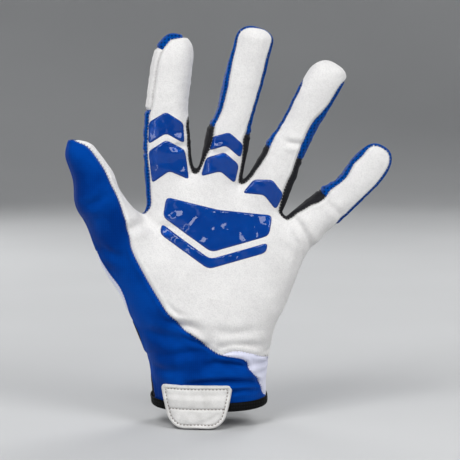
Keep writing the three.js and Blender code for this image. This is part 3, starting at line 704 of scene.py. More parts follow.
def fields_at(p):
    """Each seam as a signed field over the surface."""
    x, y, z = p.T
    seam = y - side_seam(x, z)
    band = y - (middle_depth(x, z) + BACK_SEAM)
    corner = outline_distance(CORNER_OUTLINE, x, z)
    rim = CUFF_EDGE - (z * math.cos(RIM_TILT) - y * math.sin(RIM_TILT))
    blue = outline_distance(BLUE_OUTLINE, x, z)
    side = outline_distance(SIDE_OUTLINE, x, z)
    front = np.maximum.reduce([seam, -corner, rim])
    behind = np.maximum(np.minimum(-seam, corner), rim)
    strips = {}
    for left, left_top, right, right_top in GUSSETS:
        outline = gusset_outline(left, left_top, right, right_top)
        strips[f"gusset_{left}_{right}"] = np.maximum(band, outline_distance(outline, x, z))
    strips["index_side_strip"] = np.maximum(band, outline_distance(STRIP_OUTLINE, x, z))
    plain = np.minimum.reduce(list(strips.values()))
    low = z - BACK_CUFF_HEIGHT
    patch = outline_distance(band_outline(*THUMB_PATCH), x, z)
    outlines = {name + "_back": band_outline(name, *FINGER_BACK) for name in FINGER_NAMES}
    outlines["thumb_back"] = band_outline(*THUMB_BACK)
    ends = {name: outline_distance(outline, x, z) for name, outline in outlines.items()}
    hand = np.minimum.reduce(list(ends.values()))
    fields = {
        "thumb_wrist_panel": np.maximum(front, blue),
        "wrist_side_panel": np.maximum.reduce([front, -blue, side]),
        "palm_panel": np.maximum.reduce([front, -blue, -side]),
        "back_cuff_panel": np.maximum.reduce([behind, -plain, low]),
        "thumb_base_patch": np.maximum.reduce([behind, -plain, -low, patch]),
        "back_panel": np.maximum.reduce([behind, -plain, -low, -patch, -hand]),
    }
    for name, end in ends.items():
        fields[name] = np.maximum.reduce([behind, -plain, -low, -patch, end])
    for name, strip in strips.items():
        fields[name] = np.maximum(behind, strip)
    return fields


# The panels start inside the binding
CUFF_EDGE = 1.6

# Surface of the cloth
SEAM_GROOVE = 0.75
SEAM_WIDE = 1.1
SEAM_PUFF = 0.28
BLUE_PUFF = 0.5
PUFF_FROM_SEAM = 2.3
PUFF_WIDE = 1.2
GROOVES_FROM = 6
GATHER = 7.5
FINE_GATHER = 4.1
GATHER_DEPTH = 0.1
RISE_AWAY = 2.2
RISE_WIDE = 1.2
UNEVEN = 0.34
UNEVEN_SIZE = 17
FINE_UNEVEN = 0.17
FINE_UNEVEN_SIZE = 7.5
FINE_STRETCH = (1, 1, 1.6)


def named(names, *values):
    """A table as one entry for each row, with its columns named."""
    return [dict(zip(names.split(), row)) for row in values]


# Creases and folds of the worn cloth. Each is a line of points (x, z) seen from the palm; depth is how far it
# presses in and wide its half width, and beside it the cloth stands up by rise
CREASES = named(
    "depth wide rise line",
    (2.2, 1.9, 1, ((-1, 26), (6, 27.4), (15, 26.6), (25, 24.5))),
    (2.8, 1.5, 1.3, ((-12, 14.8), (0, 16.2), (12, 16.6), (20, 15.8), (29, 14.6))),
    (1.4, 1.3, 0.7, ((12, 9.6), (20, 10.8), (28, 9.8))),
    (1.2, 2, 0.6, ((-26, 31), (-14, 33), (-2, 34.5))),
    (2.6, 8, 0.6, ((-36, 47), (-19, 41), (-3, 37), (12, 33))),
    (1.1, 1.7, 0.6, ((27, 26.5), (33, 25.4), (40, 26.5))),
    (1, 1.4, 0.5, ((29, 21.2), (34, 20.6), (40, 22))),
    (1, 1.6, 0.4, ((31, 33), (36, 32.4), (42, 33.5))),
    (1.2, 2.2, 0.5, ((6, 36), (16, 38.4), (27, 37.4), (37, 35.5))),
    (2.6, 2.4, 0.9, ((-24, 52.5), (-14, 50.5), (-4, 47.5))),
    (1.5, 1.6, 0.7, ((-13, 43), (-6, 39.5), (1, 38))),
    (0.9, 1.6, 0.5, ((-24, 63), (-19, 58), (-11, 56))),
    (1.1, 2.6, 0.4, ((2, 48), (14, 45), (28, 46))),
    (1.6, 1.9, 0.9, ((51, 112.5), (56, 106.5), (60, 99.5), (63.5, 92.5))),
    (1, 1.9, 0.5, ((43, 97.5), (48, 93.5), (52.5, 87), (53.5, 80))),
    (0.9, 1.7, 0.5, ((53, 96.5), (55, 89), (54.5, 83))),
    (1.1, 2.6, 0.6, ((-37, 111), (-42, 108.5), (-48, 106))),
    (0.9, 2.6, 0.4, ((-36, 109.5), (-27, 107.5), (-17, 107))),
    (1, 1.6, 0.6, ((45.5, 158.5), (50, 157), (55.5, 156.5))),
    (0.8, 1.8, 0.4, ((2, 152), (8, 151), (14, 153))),
    (0.9, 1.9, 0.5, ((-24, 156), (-18, 155), (-12, 156.5))),
    (0.8, 1.8, 0.4, ((72, 121), (76, 117), (79, 113))),
    (1, 2.2, 0.6, ((-72, 121), (-66, 123), (-60, 126))),
    (1, 2.4, 0.5, ((-64, 96), (-57, 92), (-50, 90))),
    (1.2, 2.6, 0.5, ((-38, 46), (-30, 43), (-20, 42))),
    (1.2, 2.2, 0.5, ((-34, 24), (-24, 22), (-12, 23))),
)
# The same across the backs of the knuckles, and round the back of the wrist
BACK_CREASES = named(
    "depth wide rise line",
    (1.3, 1.5, 0.8, ((-34, 155), (-24, 154), (-13, 155))),
    (1.3, 1.5, 0.8, ((-34, 160), (-24, 159), (-13, 160))),
    (1.1, 1.4, 0.7, ((-33, 181), (-24, 180), (-13, 181))),
    (1.3, 1.5, 0.8, ((3, 165), (13, 162), (24, 160))),
    (1.3, 1.5, 0.8, ((4, 170), (14, 167), (25, 165))),
    (1.1, 1.4, 0.7, ((9, 193), (19, 190), (30, 188))),
    (1.3, 1.5, 0.8, ((40, 158), (49, 153), (58, 148))),
    (1.3, 1.5, 0.8, ((42, 163), (51, 158), (60, 153))),
    (1.1, 1.4, 0.7, ((52, 183), (61, 178), (70, 173))),
    (1.2, 1.4, 0.7, ((70, 133), (76, 126), (82, 118))),
    (1.2, 1.4, 0.7, ((74, 136), (80, 129), (86, 121))),
    (1, 2, 0.5, ((-34, 118), (-18, 124), (-2, 124))),
    (1, 2, 0.5, ((2, 122), (18, 119), (34, 110))),
    (0.9, 2.2, 0.5, ((-50, 74), (-42, 82), (-38, 92))),
    (1.5, 2.6, 0.6, ((-36, 20), (-18, 17), (0, 18), (20, 16), (38, 19))),
    (1.3, 3, 0.5, ((-36, 32), (-16, 29), (4, 31), (24, 29), (38, 31))),
    (1, 3.4, 0.4, ((-34, 44), (-12, 42), (12, 44), (34, 42))),
)


HASH = (73856093, 19349663, 83492791)
SEED_HASH = 2654435761
SECOND_HASH = 1274126177


def value_noise(p, size, seed):
    """Smooth noise between -1 and 1, with features of a given size."""
    q = p / size
    base = np.floor(q).astype(np.int64)
    f = q - base
    f = f * f * (3 - 2 * f)
    total = np.zeros(len(p))
    for corner in np.ndindex(2, 2, 2):
        cell = (base + np.array(corner)) * HASH
        mixed = cell[:, 0] ^ cell[:, 1] ^ cell[:, 2] ^ (seed * SEED_HASH)
        mixed = (mixed ^ (mixed >> 13)) * SECOND_HASH & 0x7FFFFFFF
        value = ((mixed >> 7) & 0xFFFF) / 0x7FFF - 1
        weight = np.prod([f[:, k] if corner[k] else 1 - f[:, k] for k in range(3)], axis=0)
        total += weight * value
    return total


def line_distance(line, x, z):
    """Distance to a bent line seen from the palm, and the share of its length at the nearest point."""
    points = np.array(line, float)
    lengths = np.linalg.norm(np.diff(points, axis=0), axis=1)
    ends = np.concatenate([[0], np.cumsum(lengths)]) / lengths.sum()
    best = np.full(len(x), np.inf)
    share = np.zeros(len(x))
    for k, ((ax, az), (bx, bz)) in enumerate(zip(points[:-1], points[1:])):
        dx, dz = bx - ax, bz - az
        t = np.clip(((x - ax) * dx + (z - az) * dz) / (dx * dx + dz * dz), 0, 1)
        far = np.hypot(x - ax - t * dx, z - az - t * dz)
        share = np.where(far < best, mix(ends[k], ends[k + 1], t), share)
        best = np.minimum(best, far)
    return best, share


def creased(p, facing):
    """How far the folds lift the cloth, from its position and from how far it faces the back."""
    x, _, z = p.T
    total = np.zeros(len(p))
    for creases, side in ((CREASES, -1), (BACK_CREASES, 1)):
        shown = smooth(facing * side, -0.15, 0.5)
        for crease in creases:
            far, share = line_distance(smooth_line(crease["line"]), x, z)
            fade = np.sin(np.pi * np.clip(share, 0.04, 0.96)) ** 0.5
            wide = crease["wide"]
            shape = -crease["depth"] * np.exp(-((far / wide) ** 2))
            shape += crease["rise"] * np.exp(-(((far - RISE_AWAY * wide) / (RISE_WIDE * wide)) ** 2))
            total += shape * fade * shown
    return total


def gathered(p, normals):
    """Short gathers along the sides of the fingers, where stretch cloth meets the palm's suede."""
    x, _, z = p.T
    total = np.zeros(len(p))
    for name in FINGER_NAMES:
        at, off, half, _, _ = parts[name].locate(x, z)
        share = np.abs(off) / half
        along = at * parts[name].reach
        wave = np.sin(2 * np.pi * along / GATHER + 1.3 * np.sin(along / 5.3))
        wave += 0.5 * np.sin(2 * np.pi * along / FINE_GATHER + 2)
        side = smooth(np.abs(normals[:, 0]), 0.35, 0.8)
        part_way = smooth(at, 0.25, 0.35) * (1 - smooth(at, 0.75, 0.9))
        total += GATHER_DEPTH * wave * side * part_way * (share < 1.4)
    return total


def bulge(p, normals):
    """The cloth's own shape over the smooth hand: creases, gathers and gentle unevenness."""
    uneven = UNEVEN * value_noise(p, UNEVEN_SIZE, 1)
    uneven += FINE_UNEVEN * value_noise(p * FINE_STRETCH, FINE_UNEVEN_SIZE, 2)
    return creased(p, normals[:, 1]) + gathered(p, normals) + uneven


def border_edges(triangles, count):
    edges = triangles[:, [[0, 1], [1, 2], [2, 0]]].reshape(-1, 2)
    forward = edges[:, 0] * count + edges[:, 1]
    backward = edges[:, 1] * count + edges[:, 0]
    return edges[~np.isin(forward, backward)]


def border_loops(vertices, triangles, normals):
    """The borders of a mesh as closed lines of points, each with the surface normals along it."""
    edges = border_edges(triangles, len(vertices))
    after = dict(edges.tolist())
    loops = []
    while after:
        start, step = after.popitem()
        loop = [start]
        while step in after:
            loop.append(step)
            step = after.pop(step)
        if len(loop) > SHORT_LOOP:
            loops.append((vertices[loop], normals[loop]))
    return loops


def border_distance(vertices, triangles, above=-100.0):
    """Distance of each vertex from the mesh's border, with the border below a height left out."""
    edges = border_edges(triangles, len(vertices))
    a, b = vertices[edges[:, 0]], vertices[edges[:, 1]]
    points = np.concatenate([a, (a + b) / 2])
    points = points[points[:, 2] > above]
    tree = KDTree(len(points))
    for k, point in enumerate(points):
        tree.insert(point, k)
    tree.balance()
    return np.array([tree.find(point)[2] for point in vertices])


def clipped(vertices, triangles, value, *more):
    """The part of a mesh where value is below zero, cut along its zero line, with more carried along."""
    value = np.where(np.abs(value) < ON_LINE, 0, value)
    below = value[triangles] < 0
    above = value[triangles] > 0
    keep = below.any(1) & ~above.any(1)
    cut = triangles[below.any(1) & above.any(1)]
    edges = np.sort(cut[:, [[0, 1], [1, 2], [2, 0]]], axis=2).reshape(-1, 2)
    crossing = value[edges[:, 0]] * value[edges[:, 1]] < 0
    key = edges[:, 0] * len(vertices) + edges[:, 1]
    marked = np.unique(key[crossing])
    ends = np.stack([marked // len(vertices), marked % len(vertices)], axis=1)
    a, b = value[ends[:, 0]], value[ends[:, 1]]
    t = a / (a - b)
    spot = np.clip(np.searchsorted(marked, key), 0, max(len(marked) - 1, 0))
    middle = np.where(crossing, len(vertices) + spot, -1).reshape(-1, 3)
    out = [triangles[keep]] + recut(cut, middle, np.sign(value[cut]), CLIPS)
    triangles = np.concatenate(out)
    carried = []
    for values in (vertices, *more):
        share = t if values.ndim == 1 else t[:, None]
        carried.append(np.concatenate([values, mix(values[ends[:, 0]], values[ends[:, 1]], share)]))
    return tidied(triangles, *carried)


def tidied(triangles, *values):
    """Triangles and values with only the vertices that are in use."""
    used = np.unique(triangles)
    renumber = np.full(len(values[0]), -1)
    renumber[used] = np.arange(len(used))
    return [renumber[triangles]] + [v[used] for v in values]


def body_of_each(triangles, count):
    """The number of the body that each triangle belongs to, and how many triangles each body has."""
    label = np.arange(count)
    while True:
        lowest = label[triangles].min(axis=1)
        new = label.copy()
        for k in range(3):
            np.minimum.at(new, triangles[:, k], lowest)
        new = new[new]
        if (new == label).all():
            break
        label = new
    groups = label[triangles[:, 0]]
    return groups, np.bincount(groups)


def without_crumbs(triangles, count):
    """The triangles of a mesh without the crumbs that a cut leaves."""
    groups, sizes = body_of_each(triangles, count)
    return triangles[sizes[groups] >= CRUMB]


def normals_of(vertices, triangles):
    a, b, c = (vertices[triangles[:, k]] for k in range(3))
    face = np.cross(b - a, c - a)
    out = np.zeros_like(vertices)
    for k in range(3):
        for axis in range(3):
            out[:, axis] += np.bincount(triangles[:, k], face[:, axis], len(vertices))
    return out / np.maximum(np.linalg.norm(out, axis=1, keepdims=True), 1e-12)


def mesh_object(name, vertices, triangles, material):
    mesh = bpy.data.meshes.new(name)
    mesh.vertices.add(len(vertices))
    mesh.vertices.foreach_set("co", (vertices * MM).astype(np.float32).ravel())
    mesh.loops.add(3 * len(triangles))
    mesh.loops.foreach_set("vertex_index", triangles.astype(np.int32).ravel())
    mesh.polygons.add(len(triangles))
    mesh.polygons.foreach_set("loop_start", np.arange(0, 3 * len(triangles), 3, dtype=np.int32))
    mesh.polygons.foreach_set("use_smooth", np.ones(len(triangles), bool))
    mesh.update(calc_edges=True)
    mesh.validate()
    mesh.materials.append(material)
    thing = bpy.data.objects.new(name, mesh)
    bpy.context.scene.collection.objects.link(thing)
    return thing


def thickened(vertices, triangles, normals, thickness):
    """A closed wall: the face, the same face further in, and a rim between them."""
    count = len(vertices)
    inner = vertices - normals * thickness
    rim = border_edges(triangles, count)
    a, b = rim[:, 0], rim[:, 1]
    faces = [triangles, triangles[:, ::-1] + count]
    faces.append(np.stack([b, a, a + count], 1))
    faces.append(np.stack([b, a + count, b + count], 1))
    return np.concatenate([vertices, inner]), np.concatenate(faces)


def grid_faces(across, along, wrap_across=False, wrap_along=False):
    """Triangles of a grid of across by along points, numbered along first."""
    a = np.arange(across if wrap_across else across - 1)
    b = np.arange(along if wrap_along else along - 1)
    a, b = (g.ravel() for g in np.meshgrid(a, b, indexing="ij"))
    c, d = (a + 1) % across, (b + 1) % along
    p, q, r, t = a * along + b, c * along + b, c * along + d, a * along + d
    return np.concatenate([np.stack([p, q, r], 1), np.stack([p, r, t], 1)])


# Materials. Every texture is placed by the object's own coordinates, in metres
class Shader:
    """Nodes of one material."""

    def __init__(self, name, roughness, sheen=0.0, specular=0.5, tint=(1, 1, 1)):
        self.material = bpy.data.materials.new(name)
        self.material.use_nodes = True
        self.tree = self.material.node_tree
        self.shader = self.tree.nodes["Principled BSDF"]
        self.set("Roughness", roughness)
        self.set("Sheen Weight", sheen)
        self.set("Specular IOR Level", specular)
        self.set("Specular Tint", (*tint, 1))
        coordinates = self.tree.nodes.new("ShaderNodeTexCoord")
        self.place = coordinates.outputs["Object"]

    def set(self, name, value):
        self.shader.inputs[name].default_value = value

    def link(self, output, name):
        self.tree.links.new(output, self.shader.inputs[name])

    def node(self, kind, values=None, **settings):
        made = self.tree.nodes.new(kind)
        for key, value in settings.items():
            setattr(made, key, value)
        for key, value in (values or {}).items():
            if isinstance(value, bpy.types.NodeSocket):
                self.tree.links.new(value, made.inputs[key])
            else:
                made.inputs[key].default_value = value
        return made

    def stretched(self, scale, turn=(0, 0, 0)):
        values = {"Vector": self.place, "Scale": scale, "Rotation": tuple(math.radians(a) for a in turn)}
        return self.node("ShaderNodeMapping", values).outputs[0]

    def noise(self, size, detail=3, roughness=0.5):
        values = {"Vector": self.place, "Scale": 1 / (size * MM), "Detail": detail, "Roughness": roughness}
        return self.node("ShaderNodeTexNoise", values).outputs["Fac"]

    def wave(self, size, vector, distortion=0.0):
        values = {"Vector": vector, "Scale": 1 / (size * MM) / 20 * math.pi, "Distortion": distortion}
        return self.node("ShaderNodeTexWave", values).outputs["Fac"]

    def math(self, operation, a, b=0.5):
        return self.node("ShaderNodeMath", {0: a, 1: b}, operation=operation).outputs[0]

    def ramp(self, value, stops):
        made = self.node("ShaderNodeValToRGB", {"Fac": value})
        elements = made.color_ramp.elements
        while len(elements) < len(stops):
            elements.new(0.5)
        for element, (place, color) in zip(elements, stops):
            element.position = place
            element.color = (*color, 1)
        return made.outputs["Color"]

    def range(self, value, low, high):
        return self.node("ShaderNodeMapRange", {"Value": value, "To Min": low, "To Max": high}).outputs[0]

    def mixed(self, factor, a, b, blend="MIX"):
        made = self.node("ShaderNodeMix", data_type="RGBA", blend_type=blend)
        for socket, value in ((made.inputs[0], factor), (made.inputs[6], a), (made.inputs[7], b)):
            if isinstance(value, bpy.types.NodeSocket):
                self.tree.links.new(value, socket)
            elif isinstance(value, tuple):
                socket.default_value = (*value, 1)
            else:
                socket.default_value = value
        return made.outputs[2]

    def bump(self, height, depth, strength=1.0, normal=None):
        values = {"Height": height, "Distance": depth * MM, "Strength": strength}
        if normal is not None:
            values["Normal"] = normal
        return self.node("ShaderNodeBump", values).outputs[0]


WHITE = (1, 1, 1)
BLACK = (0, 0, 0)
SUEDE_SHADE = (0.3, 0.3, 0.31)


def suede(name, light, dark):
    m = Shader(name, 0.88, sheen=0.06, specular=0.2)
    mottle = m.noise(2.2, 5, 0.7)
    grain = m.noise(0.7, 3, 0.7)
    patches = m.noise(16, 2)
    color = m.ramp(mottle, ((0.32, dark), (0.62, light)))
    color = m.mixed(0.5, color, m.ramp(patches, ((0.35, dark), (0.6, light))))
    shade = m.ramp(grain, ((0.35, SUEDE_SHADE), (0.55, WHITE)))
    m.link(m.mixed(0.18, color, shade, "MULTIPLY"), "Base Color")
    m.link(m.range(mottle, 0.8, 0.96), "Roughness")
    fine = m.bump(grain, 0.3, 0.8)
    m.link(m.bump(mottle, 0.5, 0.6, fine), "Normal")
    return m.material


def knit(name, light, dark, rib=0.62, roughness=0.62, sheen=0.25, holes=0.0):
    glint = tuple(c / max(light) for c in light)
    m = Shader(name, roughness, sheen=sheen, specular=0.3, tint=glint)
    m.set("Sheen Roughness", 0.4)
    m.set("Sheen Tint", (*glint, 1))
    upright = m.wave(rib, m.stretched((1, 0.35, 0.0), (0, 0, 0)), 0.4)
    level = m.wave(rib * 0.8, m.stretched((1, 1, 1), (0, 90, 0)), 0.4)
    weave = m.math("MULTIPLY", upright, level)
    patches = m.noise(24, 4)
    color = m.ramp(patches, ((0.38 - 0.25 * bool(holes), dark), (0.62, light)))
    color = m.mixed(0.25, color, m.ramp(weave, ((0.1, dark), (0.7, light))))
    if holes:
        seen_flat = m.stretched((1, 1, 1), (90, 0, 0))
        values = {"Vector": seen_flat, "Scale": 1 / (holes * MM), "Randomness": 0.1}
        dots = m.node("ShaderNodeTexVoronoi", values, voronoi_dimensions="2D")
        pit = m.range(dots.outputs["Distance"], 0.0, 1.4)
        # Each hole is sunk as a pit in the bump and its colour is darkened almost to black: painted shade
        # inside the hole
        inside = m.ramp(pit, ((0.2, WHITE), (0.42, BLACK)))
        color = m.mixed(inside, color, tuple(0.15 * c for c in dark))
        weave = m.math("ADD", weave, pit)
    m.link(color, "Base Color")
    m.link(m.range(patches, roughness - 0.06, roughness + 0.08), "Roughness")
    fine = m.bump(weave, 0.12, 0.5)
    m.link(m.bump(m.noise(5, 3), 0.25, 0.35, fine), "Normal")
    return m.material


def tape(name, light, dark):
    m = Shader(name, 0.75, specular=0.06)
    ribs = m.wave(0.75, m.stretched((1, 1, 0)), 0.2)
    rows_of_thread = m.wave(0.9, m.stretched((0, 0, 1), (0, 90, 0)), 0.2)
    weave = m.math("MULTIPLY", ribs, rows_of_thread)
    m.link(m.ramp(weave, ((0.1, dark), (0.8, light))), "Base Color")
    m.link(m.range(m.noise(4), 0.5, 0.75), "Roughness")
    m.link(m.bump(weave, 0.2, 0.6), "Normal")
    return m.material


GEL_COAT_IOR = 1.42


def gel(name, light, dark):
    m = Shader(name, 0.24, specular=0.3, tint=tuple(c / max(light) for c in light))
    m.set("Coat Weight", 0.8)
    m.set("Coat Roughness", 0.02)
    m.set("Coat IOR", GEL_COAT_IOR)
    m.link(m.ramp(m.noise(9, 3), ((0.3, dark), (0.7, light))), "Base Color")
    m.link(m.range(m.noise(6, 3), 0.14, 0.3), "Roughness")
    ripple = m.bump(m.noise(7, 2), 0.55, 0.6)
    fine = m.bump(m.noise(1.3, 3), 0.05, 0.5, ripple)
    m.link(fine, "Normal")
    m.link(m.bump(m.noise(8, 0.5, 0.4), 3.2, 1), "Coat Normal")
    return m.material


LEATHER_GRAIN = 0.85


def leather(name, light, dark):
    m = Shader(name, 0.52, specular=0.45)
    values = {"Vector": m.place, "Scale": 1 / (LEATHER_GRAIN * MM)}
    cells = m.node("ShaderNodeTexVoronoi", values, feature="DISTANCE_TO_EDGE")
    grain = m.ramp(cells.outputs["Distance"], ((0.0, BLACK), (0.22, WHITE)))
    color = m.ramp(m.noise(5, 4), ((0.3, dark), (0.65, light)))
    m.link(m.mixed(0.1, color, grain, "MULTIPLY"), "Base Color")
    m.link(m.range(m.noise(3), 0.42, 0.6), "Roughness")
    fine = m.bump(grain, 0.06, 0.45)
    m.link(m.bump(m.noise(2.5, 3), 0.15, 0.3, fine), "Normal")
    return m.material


def thread(name, light, dark):
    m = Shader(name, 0.6, sheen=0.1, specular=0.35)
    twist = m.wave(0.3, m.stretched((1, 1, 1), (0, 35, 0)), 0.3)
    m.link(m.ramp(twist, ((0.2, dark), (0.8, light))), "Base Color")
    m.link(m.bump(twist, 0.05, 0.5), "Normal")
    return m.material


def floor_material():
    m = Shader("pale_floor", 0.75, specular=0.2)
    m.link(m.ramp(m.noise(300, 2), ((0.3, (0.5, 0.505, 0.51)), (0.7, (0.53, 0.535, 0.54)))), "Base Color")
    return m.material


WHITE_KNIT = {"rib": 0.5, "roughness": 0.7, "sheen": 0.1}
BLUE_KNIT = {"rib": 0.6, "sheen": 0.12}
MESH_KNIT = {"rib": 0.7, "sheen": 0.12, "holes": 2.1}
BLACK_KNIT = {"rib": 0.7, "roughness": 0.75, "sheen": 0.0}

# Each slot's finish, its lighter and its darker color, and what a knit adds
FINISHES = (
    ("white_suede", suede, (0.765, 0.755, 0.745), (0.675, 0.665, 0.66), {}),
    ("white_fabric", knit, (0.74, 0.745, 0.86), (0.62, 0.63, 0.76), WHITE_KNIT),
    ("blue_stretch", knit, (0.0004, 0.05, 0.3), (0.0003, 0.022, 0.16), BLUE_KNIT),
    ("blue_mesh", knit, (0.0006, 0.058, 0.29), (0.0004, 0.03, 0.18), MESH_KNIT),
    ("black_stretch", knit, (0.008, 0.008, 0.009), (0.003, 0.003, 0.004), BLACK_KNIT),
    ("black_tape", tape, (0.009, 0.009, 0.01), (0.003, 0.003, 0.003), {}),
    ("blue_gel", gel, (0.0001, 0.042, 0.25), (0.0001, 0.032, 0.21), {}),
    ("white_leather", leather, (0.7, 0.69, 0.675), (0.6, 0.59, 0.575), {}),
)
MATERIALS = {name: finish(name, light, dark, **more) for name, finish, light, dark, more in FINISHES}
THREAD = thread("tan_thread", (0.27, 0.24, 0.215), (0.14, 0.12, 0.11))
WHITE_THREAD = thread("white_thread", (0.62, 0.61, 0.6), (0.45, 0.44, 0.43))
BLUE_THREAD = thread("blue_thread", (0.001, 0.05, 0.3), (0.0005, 0.025, 0.16))
BLACK_THREAD = thread("black_thread", (0.012, 0.012, 0.013), (0.004, 0.004, 0.005))
SLOTS = {entry["node"]: entry["material_slot"] for entry in frame["record"]["subparts"]}


def add_piece(name, vertices, triangles, nodes=(), slot=None, material=None):
    slot = slot or SLOTS[nodes[0]]
    piece = mesh_object(name, vertices, triangles, material or MATERIALS[slot])
    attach(piece, "root")
    if nodes:
        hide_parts(*nodes)
    return piece


# Grip print: chevrons on the fingers and two wide bars on the palm
PRINT_HEIGHT = 0.75
PRINT_EDGE = 0.55
PRINT_SUNK = 0.5
FINGER_BAR_ROUND = 2.2
PALM_BAR_ROUND = 3
FINGER_BARS = (
    ("grip_index_1", "index", 0.1, 0.29, 0.76, 0.26),
    ("grip_index_2", "index", 0.33, 0.46, 0.76, 0.26),
    ("grip_middle_1", "middle", 0.21, 0.31, 0.74, 0.24),
    ("grip_middle_2", "middle", 0.345, 0.415, 0.74, 0.24),
    ("grip_ring_1", "ring", 0.2, 0.29, 0.72, 0.22),
)
PALM_BARS = (
    ("grip_palm_1", -0.02, 0.02, 0.22, 0.52),
    ("grip_palm_2", 0.3, 0.6, 0.42, 0.72),
)
PRINT_BELOW = 9.6
PRINT_SHIFT = -0.1
PRINT_SLANT = math.radians(10)
PRINT_HALF = 32
PRINT_LENGTH = 50


def finger_bar_outline(on, start, end, across, rise):
    part = parts[on]
    k = FINGER_NAMES.index(on)
    lift = rise * FINGERS["width"][k] * FINGER_WIDTH / part.reach
    low = [part.spot(start, -across), part.spot(start + lift, 0), part.spot(start, across)]
    return low + [part.spot(end, across), part.spot(end + lift, 0), part.spot(end, -across)]


def palm_bar_outline(top, top_point, bottom, bottom_point):
    x0, z0 = on_knuckles(PRINT_SHIFT)
    c, s = math.cos(PRINT_SLANT), math.sin(PRINT_SLANT)

    def spot(side, down):
        u, v = side * PRINT_HALF, -down * PRINT_LENGTH
        return x0 + u * c + v * s, z0 - PRINT_BELOW - u * s + v * c

    low = [spot(-1, bottom), spot(0, bottom_point), spot(1, bottom)]
    return low + [spot(1, top), spot(0, top_point), spot(-1, top)]


def rounded_outline(outline, radius, steps=4):
    """An outline with each corner cut by a small curve."""
    points = np.array(outline)
    out = []
    for k in range(len(points)):
        before, here, after = points[k - 1], points[k], points[(k + 1) % len(points)]
        a = here + (before - here) * min(0.4, radius / np.linalg.norm(before - here))
        b = here + (after - here) * min(0.4, radius / np.linalg.norm(after - here))
        for t in np.linspace(0, 1, steps):
            out.append(tuple((1 - t) ** 2 * a + 2 * t * (1 - t) * here + t**2 * b))
    return out


BARS = {name: rounded_outline(finger_bar_outline(*bar), FINGER_BAR_ROUND) for name, *bar in FINGER_BARS}
BARS.update({name: rounded_outline(palm_bar_outline(*bar), PALM_BAR_ROUND) for name, *bar in PALM_BARS})

# The face of the glove, finer along the seams and round the print
vertices, quads = surface_mesh()
triangles = triangles_of(vertices, quads)
fields = fields_at(vertices)
nearest = np.minimum.reduce([np.abs(f) for f in fields.values()])
x, y, z = vertices.T
front_side = y < middle_depth(x, z)
for crease in CREASES + BACK_CREASES:
    if crease["wide"] < FINE_CREASE:
        away, _ = line_distance(smooth_line(crease["line"]), x, z)
        nearest = np.minimum(nearest, away)
for outline in BARS.values():
    away = np.abs(outline_distance(outline, x, z))
    nearest = np.minimum(nearest, np.where(front_side, away, FAR))
vertices, triangles = refined(vertices, triangles, (nearest[triangles] < NEAR_SEAM).any(1))
fields = fields_at(vertices)
normals = normals_of(vertices, triangles)
vertices = vertices + normals * bulge(vertices, normals)[:, None]
places = vertices[:, [0, 2]]

seams = {}
for name, field in fields.items():
    face, spots, flat = clipped(vertices, triangles, field, places)
    face, spots, flat = tidied(without_crumbs(face, len(spots)), spots, flat)
    away = border_distance(spots, face, above=GROOVES_FROM)
    puff = BLUE_PUFF if name == "thumb_wrist_panel" else SEAM_PUFF
    shape = puff * np.exp(-(((away - PUFF_FROM_SEAM) / PUFF_WIDE) ** 2))
    shape -= SEAM_GROOVE * np.exp(-((away / SEAM_WIDE) ** 2))
    spots = spots + normals_of(spots, face) * shape[:, None]
    facing = normals_of(spots, face)
    if name == "palm_panel":
        palm_face = (face, spots, flat, facing)
    seams[name] = border_loops(spots, face, facing)
    add_piece(name + "_cloth", *thickened(spots, face, facing, CLOTH), nodes=[name])

face, spots, flat, facing = palm_face
front_side = spots[:, 1] < middle_depth(*flat.T)
for name, outline in BARS.items():
    field = np.where(front_side, outline_distance(outline, *flat.T), FAR)
    bar, points, out = clipped(spots, face, field, facing)
    bar, points, out = tidied(without_crumbs(bar, len(points)), points, out)
    out /= np.linalg.norm(out, axis=1, keepdims=True)
    away = border_distance(points, bar)
    lift = PRINT_HEIGHT * (1 - np.exp(-((away / PRINT_EDGE + 0.35) ** 2)))
    raised = points + out * lift[:, None]
    add_piece(name + "_gel", *thickened(raised, bar, out, PRINT_HEIGHT + PRINT_SUNK), nodes=[name])

# Cuff binding: tape folded over the lower edge
BINDING_TURNS = 360
BINDING_RIPPLE = 0.09
BINDING_SECTION = (
    (0.2, 5.1), (0.7, 5.35), (1.15, 5.1), (1.42, 4.4), (1.5, 2.8), (1.42, 1.2), (1.05, 0.3), (0.2, -0.05),
    (-0.7, -0.12), (-1.7, -0.05), (-2.5, 0.3), (-2.85, 1.2), (-2.9, 2.8), (-2.8, 4.4), (-2.4, 5),
    (-1.9, 5.1), (-1.55, 4.6), (-1.5, 1.6), (0, 1.6), (0.05, 4.6),
)


def cuff_ring(height, offset):
    """A ring round the cuff: the palm's section at a height, grown outwards."""
    palm = parts["palm"]
    at = np.full(BINDING_TURNS, height / PALM_HEIGHT)
    angle = np.linspace(0, 2 * np.pi, BINDING_TURNS, endpoint=False)
    left, right = palm.read(palm.left, at), palm.read(palm.right, at)
    c, s = np.cos(angle), np.sin(angle)
    across = np.sign(c) * np.abs(c) ** (2 / palm.power)
    deep = np.sign(s) * np.abs(s) ** (2 / palm.power)
    half = (right[:, 0] - left[:, 0]) / 2 + offset
    reach = np.where(s > 0, palm.read(palm.back, at), palm.read(palm.front, at)) + offset
    x = (left[:, 0] + right[:, 0]) / 2 + across * half
    y = deep * reach
    return np.stack([x, y, np.full(BINDING_TURNS, height)], axis=1)


def tilted(points):
    """The lower edge of the cuff slants, higher at the back of the hand."""
    out = points.copy()
    out[:, 2] += points[:, 1] * math.tan(RIM_TILT)
    return out


